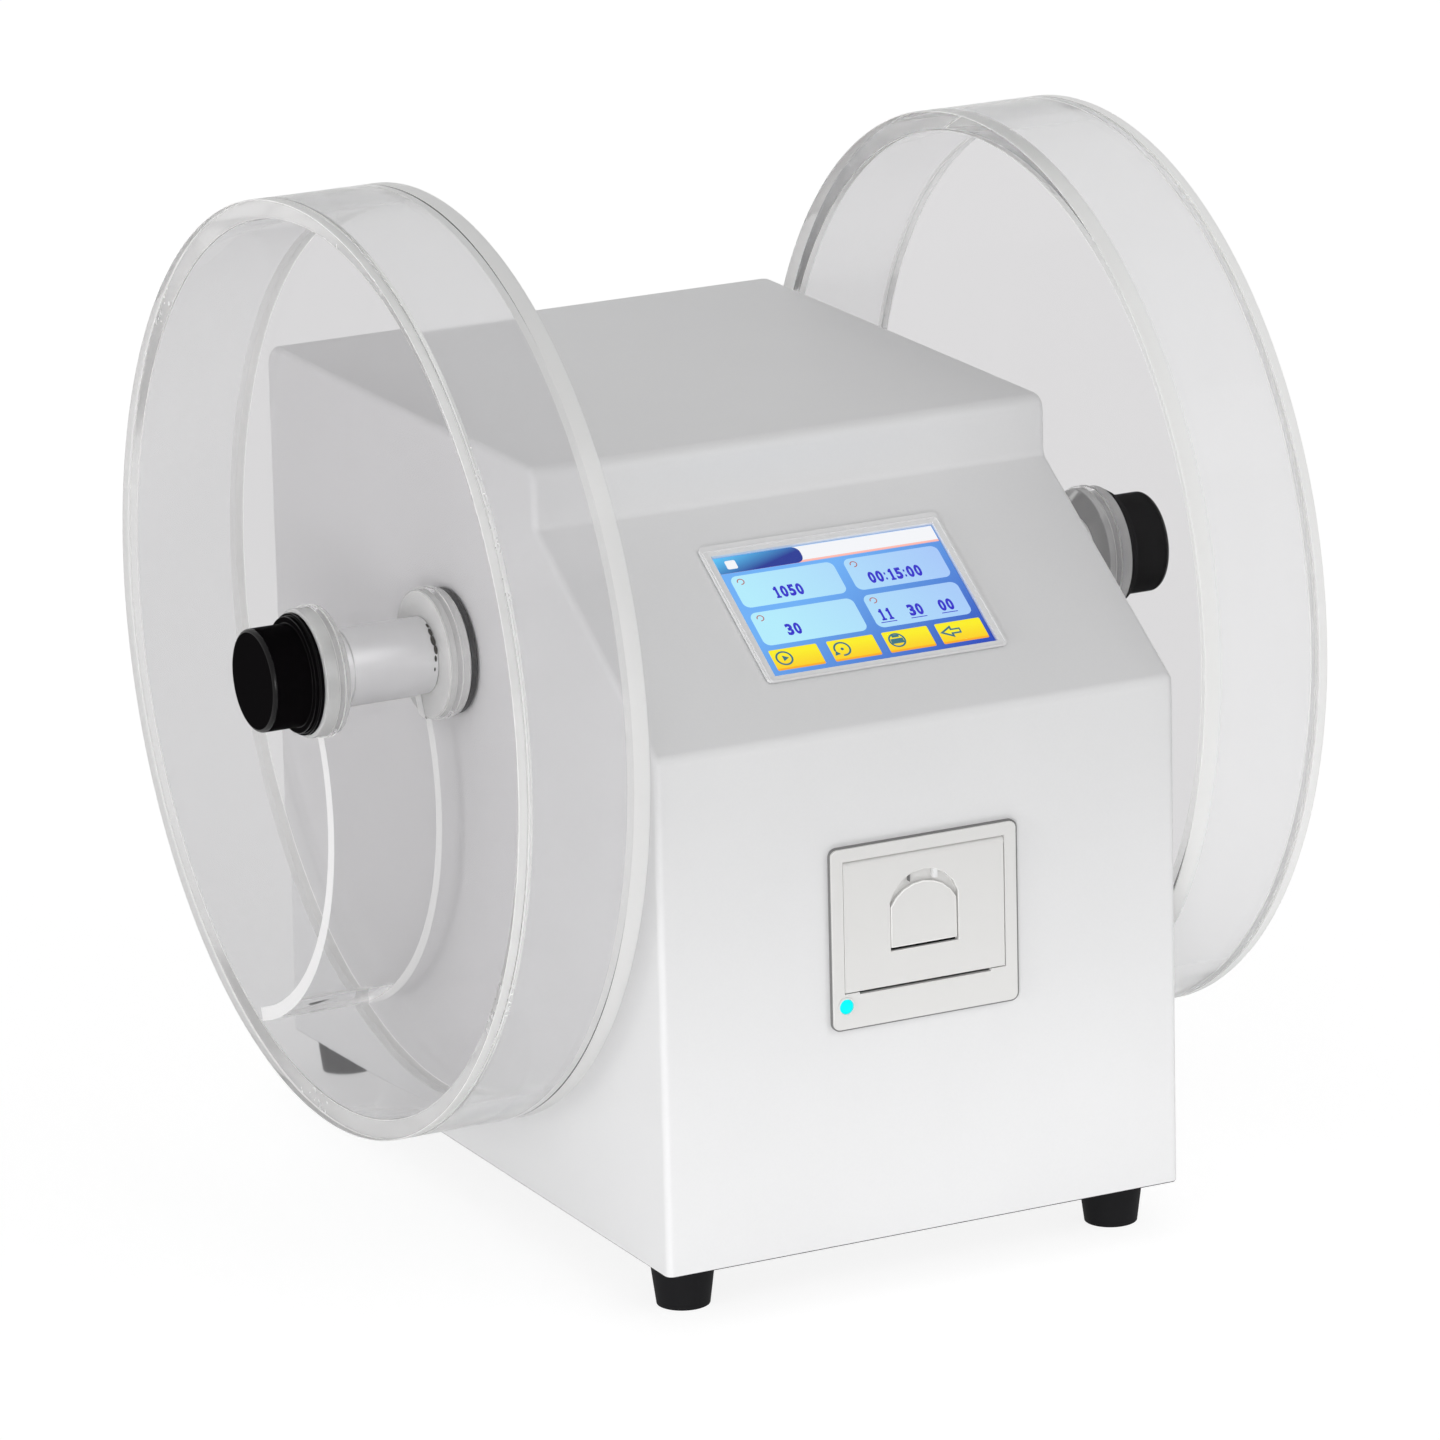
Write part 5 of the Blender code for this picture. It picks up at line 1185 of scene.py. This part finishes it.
class TESTER_OT_printer(bpy.types.Operator):
    """Dresses the printer's frame, door, lever and lamp"""
    bl_idname = "object.tester_printer"
    bl_label = "Printer"

    def execute(self, context):
        printer = settings("printer")
        for name, node, share in PRINTER_PIECES:
            # The rounded edges take the lighter plastic, a painted highlight.
            piece = paint(from_node(name, node), finish("plastic"), finish("plastic_painted_highlight"))
            stands_for(smooth(soften(piece, printer.edge * share, 3, 1)), "light_plastic", node)
        self.gasket(printer)
        self.ribs(printer)
        self.lamp(printer)
        return {"FINISHED"}

    def gasket(self, printer):
        """The dark gasket round the flange: partly a real gasket and partly painted shadow, shifted right and down
        so that it shows widest where the flange's shadow falls.
        """
        low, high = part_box("printer_frame")
        front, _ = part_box("case_shell")
        rims = []
        for grow, depth, behind, shift in ((printer.outline, printer.gasket, 0, printer.shift),
                                           (CLOSE, 4 * MM, 4 * MM, 0)):
            rim = block("gasket", (low.x - grow + shift, front.y - depth, low.z - grow - shift / 2),
                        (high.x + grow + shift, front.y + behind, high.z + grow - shift / 2))
            rims.append(upright_corners(rim, printer.corner + grow, "y"))
        add_on(soften(cut(*rims), 0.08 * MM, 1), "gasket")

    def ribs(self, printer):
        """A thin and a wide rib in the door's pocket over the lever, the thin one in dark grey as painted shade and
        the wide one in the lighter bezel coat as painted highlight, and a black strip behind the gap under the lever
        as painted shade.
        """
        door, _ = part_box("printer_door")
        low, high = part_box("door_lever")
        # The thin rib's dark grey is painted shade; the wide rib's lighter coat is a painted highlight.
        for name, across, half, look in (("pocket_rib_left", -printer.rib_left, 0.13 * MM, "gasket"),
                                         ("pocket_rib_right", printer.rib_right, 0.75 * MM, "bezel")):
            rib = block(name, (across - half, door.y + 0.1 * MM, high.z + 0.4 * MM),
                        (across + half, door.y + 2 * MM, high.z + 3.4 * MM), 0.12 * MM)
            add_on(rib, look, "paper_door")
        # Black strip in the gap under the lever: painted shade.
        gap = block("lever_gap", (low.x + 0.4 * MM, door.y + MM, low.z - 0.8 * MM),
                    (high.x - 0.4 * MM, door.y + 1.4 * MM, low.z - 0.1 * MM), 0.1 * MM)
        add_on(gap, "rubber", "paper_door")

    def lamp(self, printer):
        """A domed lens in a raised ring."""
        low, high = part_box("printer_lamp")
        middle = (low + high) / 2
        radius, base = (high.x - low.x) / 2, high.y - low.y - printer.dome
        profile = [(0, radius), (base, radius)]
        profile += [(base + printer.dome * sine, radius * cosine)
                    for cosine, sine in map(direction, (15, 30, 45, 60, 75, 86))]
        lens = placed(lathe("ready_lamp", profile, 40), (middle.x, high.y, middle.z), FRONT)
        stands_for(smooth(paint(lens, finish("lamp")), 50), "cyan_lens", "printer_lamp")
        flange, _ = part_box("printer_frame")
        inner = radius + 0.15 * MM
        ring = lathe("lamp_ring", band(0, 0.3 * MM, inner, inner + printer.lamp_ring), 48, True)
        placed(soften(ring, 0.12 * MM), (middle.x, flange.y - CLOSE, middle.z), FRONT)
        add_on(ring, "plastic")


# Pieces inside: name, node, look, slot and rounding in mm
INNER_WORKS = (
    ("motor_body", "gear_motor", "zinc", "zinc_plate", 0.4),
    ("motor_stand", "motor_bracket", "zinc", "zinc_plate", 0.2),
    ("motor_spindle", "motor_shaft", "steel", "steel", 0.2),
    ("pinion_gear", "drive_pinion", "brass", "brass", 0),
    ("axle_gear", "shaft_gear", "steel", "steel", 0),
    ("bearing_housing_left", "bearing_block_left", "zinc", "zinc_plate", 0.3),
    ("bearing_housing_right", "bearing_block_right", "zinc", "zinc_plate", 0.3),
    ("ball_bearing_left", "shaft_bearing_left", "steel", "steel", 0.2),
    ("ball_bearing_right", "shaft_bearing_right", "steel", "steel", 0.2),
    ("set_collar_left", "shaft_collar_left", "steel", "steel", 0.3),
    ("set_collar_right", "shaft_collar_right", "steel", "steel", 0.3),
    ("display_back", "display_module", "zinc", "zinc_plate", 0.2),
    ("display_circuit", "display_board", "board", "circuit_board", 0),
    ("main_circuit", "control_board", "board", "circuit_board", 0),
    ("mains_supply", "power_supply", "zinc", "zinc_plate", 0.3),
    ("platen", "platen_roller", "roller", "platen_rubber", 0.2),
    ("thermal_head", "print_head", "black", "black_plastic", 0.2),
    ("paper_coil", "paper_roll", "paper", "paper", 0.3),
)


class TESTER_OT_inside(bpy.types.Operator):
    """Dresses the drive, the boards, the supply and the printer's inside"""
    bl_idname = "object.tester_inside"
    bl_label = "Inner works"

    def execute(self, context):
        for name, node, look, slot, edge in INNER_WORKS:
            dress(name, node, look, slot, edge * MM)
        return {"FINISHED"}


# Stage

# Each lamp: place, what it points at, width and height in metres, and whether it shows in reflections
LAMPS = {
    "key": ((-1.4, -2.05, 0.2), (0, -0.1, 0.14), 0.9, 0.7, True),
    "back": ((0.4, 2.2, 1.75), (0, 0, 0.25), 1.4, 0.8, False),
    "side": ((-2.3, -0.35, 0.15), (0, 0, 0.14), 1.0, 1.0, False),
    "card": ((0, -0.3, 0.02), (0, -0.2, -0.08), 0.8, 0.06, False),
    "far": ((2.4, -0.1, 0.35), (0, 0, 0.16), 1.0, 1.0, False),
    "fill": ((0.85, -1.5, 1.35), (0, 0, 0.2), 1.0, 0.6, True),
}


def on_stage(name, data):
    """A new lamp or camera in the scene."""
    piece = bpy.data.objects.new(name, data)
    bpy.context.scene.collection.objects.link(piece)
    return piece


def seen(tree, ray):
    """One for what the camera, a mirror or clear plastic sees, and nought for what gives light."""
    return maths(tree, "MAXIMUM", maths(tree, "MAXIMUM", ray["Is Camera Ray"], ray["Is Glossy Ray"]),
                 ray["Is Transmission Ray"])


def whitened(tree, shader, kind, white, share, output):
    """Shows a white in place of a lit shader wherever it is seen, and the backdrop's tone in mirrors."""
    plain = tree.nodes.new(kind)
    ray = tree.nodes.new("ShaderNodeLightPath").outputs
    between(tree, ray["Is Camera Ray"], settings("stage").backdrop, white, plain.inputs["Strength"])
    mixed(tree, maths(tree, "MULTIPLY", seen(tree, ray), share), shader, plain, output)


class TESTER_OT_stage(bpy.types.Operator):
    """Sets the camera, the lamps, the room and the pale floor"""
    bl_idname = "object.tester_stage"
    bl_label = "Stage"

    def execute(self, context):
        stage = settings("stage")
        self.camera(stage)
        self.room(stage)
        self.floor(stage)
        for name, (place, aim, width, height, mirrored) in LAMPS.items():
            data = bpy.data.lights.new(name + "_lamp", "AREA")
            data.shape = "RECTANGLE"
            data.size, data.size_y = width, height
            data.energy = getattr(stage, name)
            lamp = on_stage(name + "_lamp", data)
            lamp.location = place
            lamp.rotation_euler = (Vector(aim) - Vector(place)).to_track_quat("-Z", "Y").to_euler()
            lamp.visible_camera = lamp.visible_transmission = False
            lamp.visible_glossy = mirrored
        return {"FINISHED"}

    def camera(self, stage):
        """The camera at the photograph's viewing angle."""
        forward = -Vector((math.sin(stage.turn) * math.cos(stage.tilt), -math.cos(stage.turn) * math.cos(stage.tilt),
                           math.sin(stage.tilt)))
        right = forward.cross(UP).normalized()
        rise = right.cross(forward)
        leaned = right * math.cos(stage.roll) + rise * math.sin(stage.roll)
        top = rise * math.cos(stage.roll) - right * math.sin(stage.roll)
        data = bpy.data.cameras.new("camera")
        data.sensor_width = 36
        data.lens = stage.lens
        data.clip_end = 50
        camera = on_stage("camera", data)
        turn = Matrix((leaned, top, -forward)).transposed().to_4x4()
        camera.matrix_world = Matrix.Translation(stage.place) @ turn
        bpy.context.scene.camera = camera
        bpy.context.scene.view_settings.view_transform = "Standard"

    def room(self, stage):
        """White to look at, and an even soft light."""
        world = bpy.data.worlds.new("room")
        bpy.context.scene.world = world
        world.use_nodes = True
        light = world.node_tree.nodes["Background"]
        light.inputs["Color"].default_value = (1, 1, 1, 1)
        light.inputs["Strength"].default_value = stage.room
        whitened(world.node_tree, light, "ShaderNodeBackground", 1, 1, "World Output")

    def floor(self, stage):
        """A pale floor that keeps the object's shadow."""
        floor = added("floor", bpy.ops.mesh.primitive_plane_add, size=30)
        material, tree, shader = blank("pale_floor", {"Base Color": (*stage.floor, 1), "Roughness": 0.9,
                                                      "Specular IOR Level": 0.1})
        whitened(tree, shader, "ShaderNodeEmission", stage.white, stage.lift, "Material Output")
        paint(floor, material)


OPERATORS = (TESTER_OT_stage, TESTER_OT_case, TESTER_OT_rear, TESTER_OT_feet, TESTER_OT_drums, TESTER_OT_hubs,
             TESTER_OT_screen, TESTER_OT_printer, TESTER_OT_inside)
GROUP_CLASSES = {"case": CaseSettings, "drum": DrumSettings, "hub": HubSettings, "screen": ScreenSettings,
                 "printer": PrinterSettings, "stage": StageSettings}


class TESTER_PT_panel(bpy.types.Panel):
    """Lists the pieces of the tester"""
    bl_label = "Tablet friability tester"
    bl_space_type = "VIEW_3D"
    bl_region_type = "UI"
    bl_category = "Tester"

    def draw(self, context):
        for operator in OPERATORS:
            self.layout.operator(operator.bl_idname)


def register():
    for name, group in GROUP_CLASSES.items():
        bpy.utils.register_class(group)
        setattr(bpy.types.Scene, "tester_" + name, PointerProperty(type=group))
    for operator in OPERATORS:
        bpy.utils.register_class(operator)
    bpy.utils.register_class(TESTER_PT_panel)


def unregister():
    bpy.utils.unregister_class(TESTER_PT_panel)
    for operator in reversed(OPERATORS):
        bpy.utils.unregister_class(operator)
    for name, group in GROUP_CLASSES.items():
        delattr(bpy.types.Scene, "tester_" + name)
        bpy.utils.unregister_class(group)


def main():
    """Makes all pieces."""
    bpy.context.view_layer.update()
    register()
    for operator in OPERATORS:
        getattr(bpy.ops.object, operator.bl_idname.split(".")[1])()


if __name__ == "__main__":
    main()
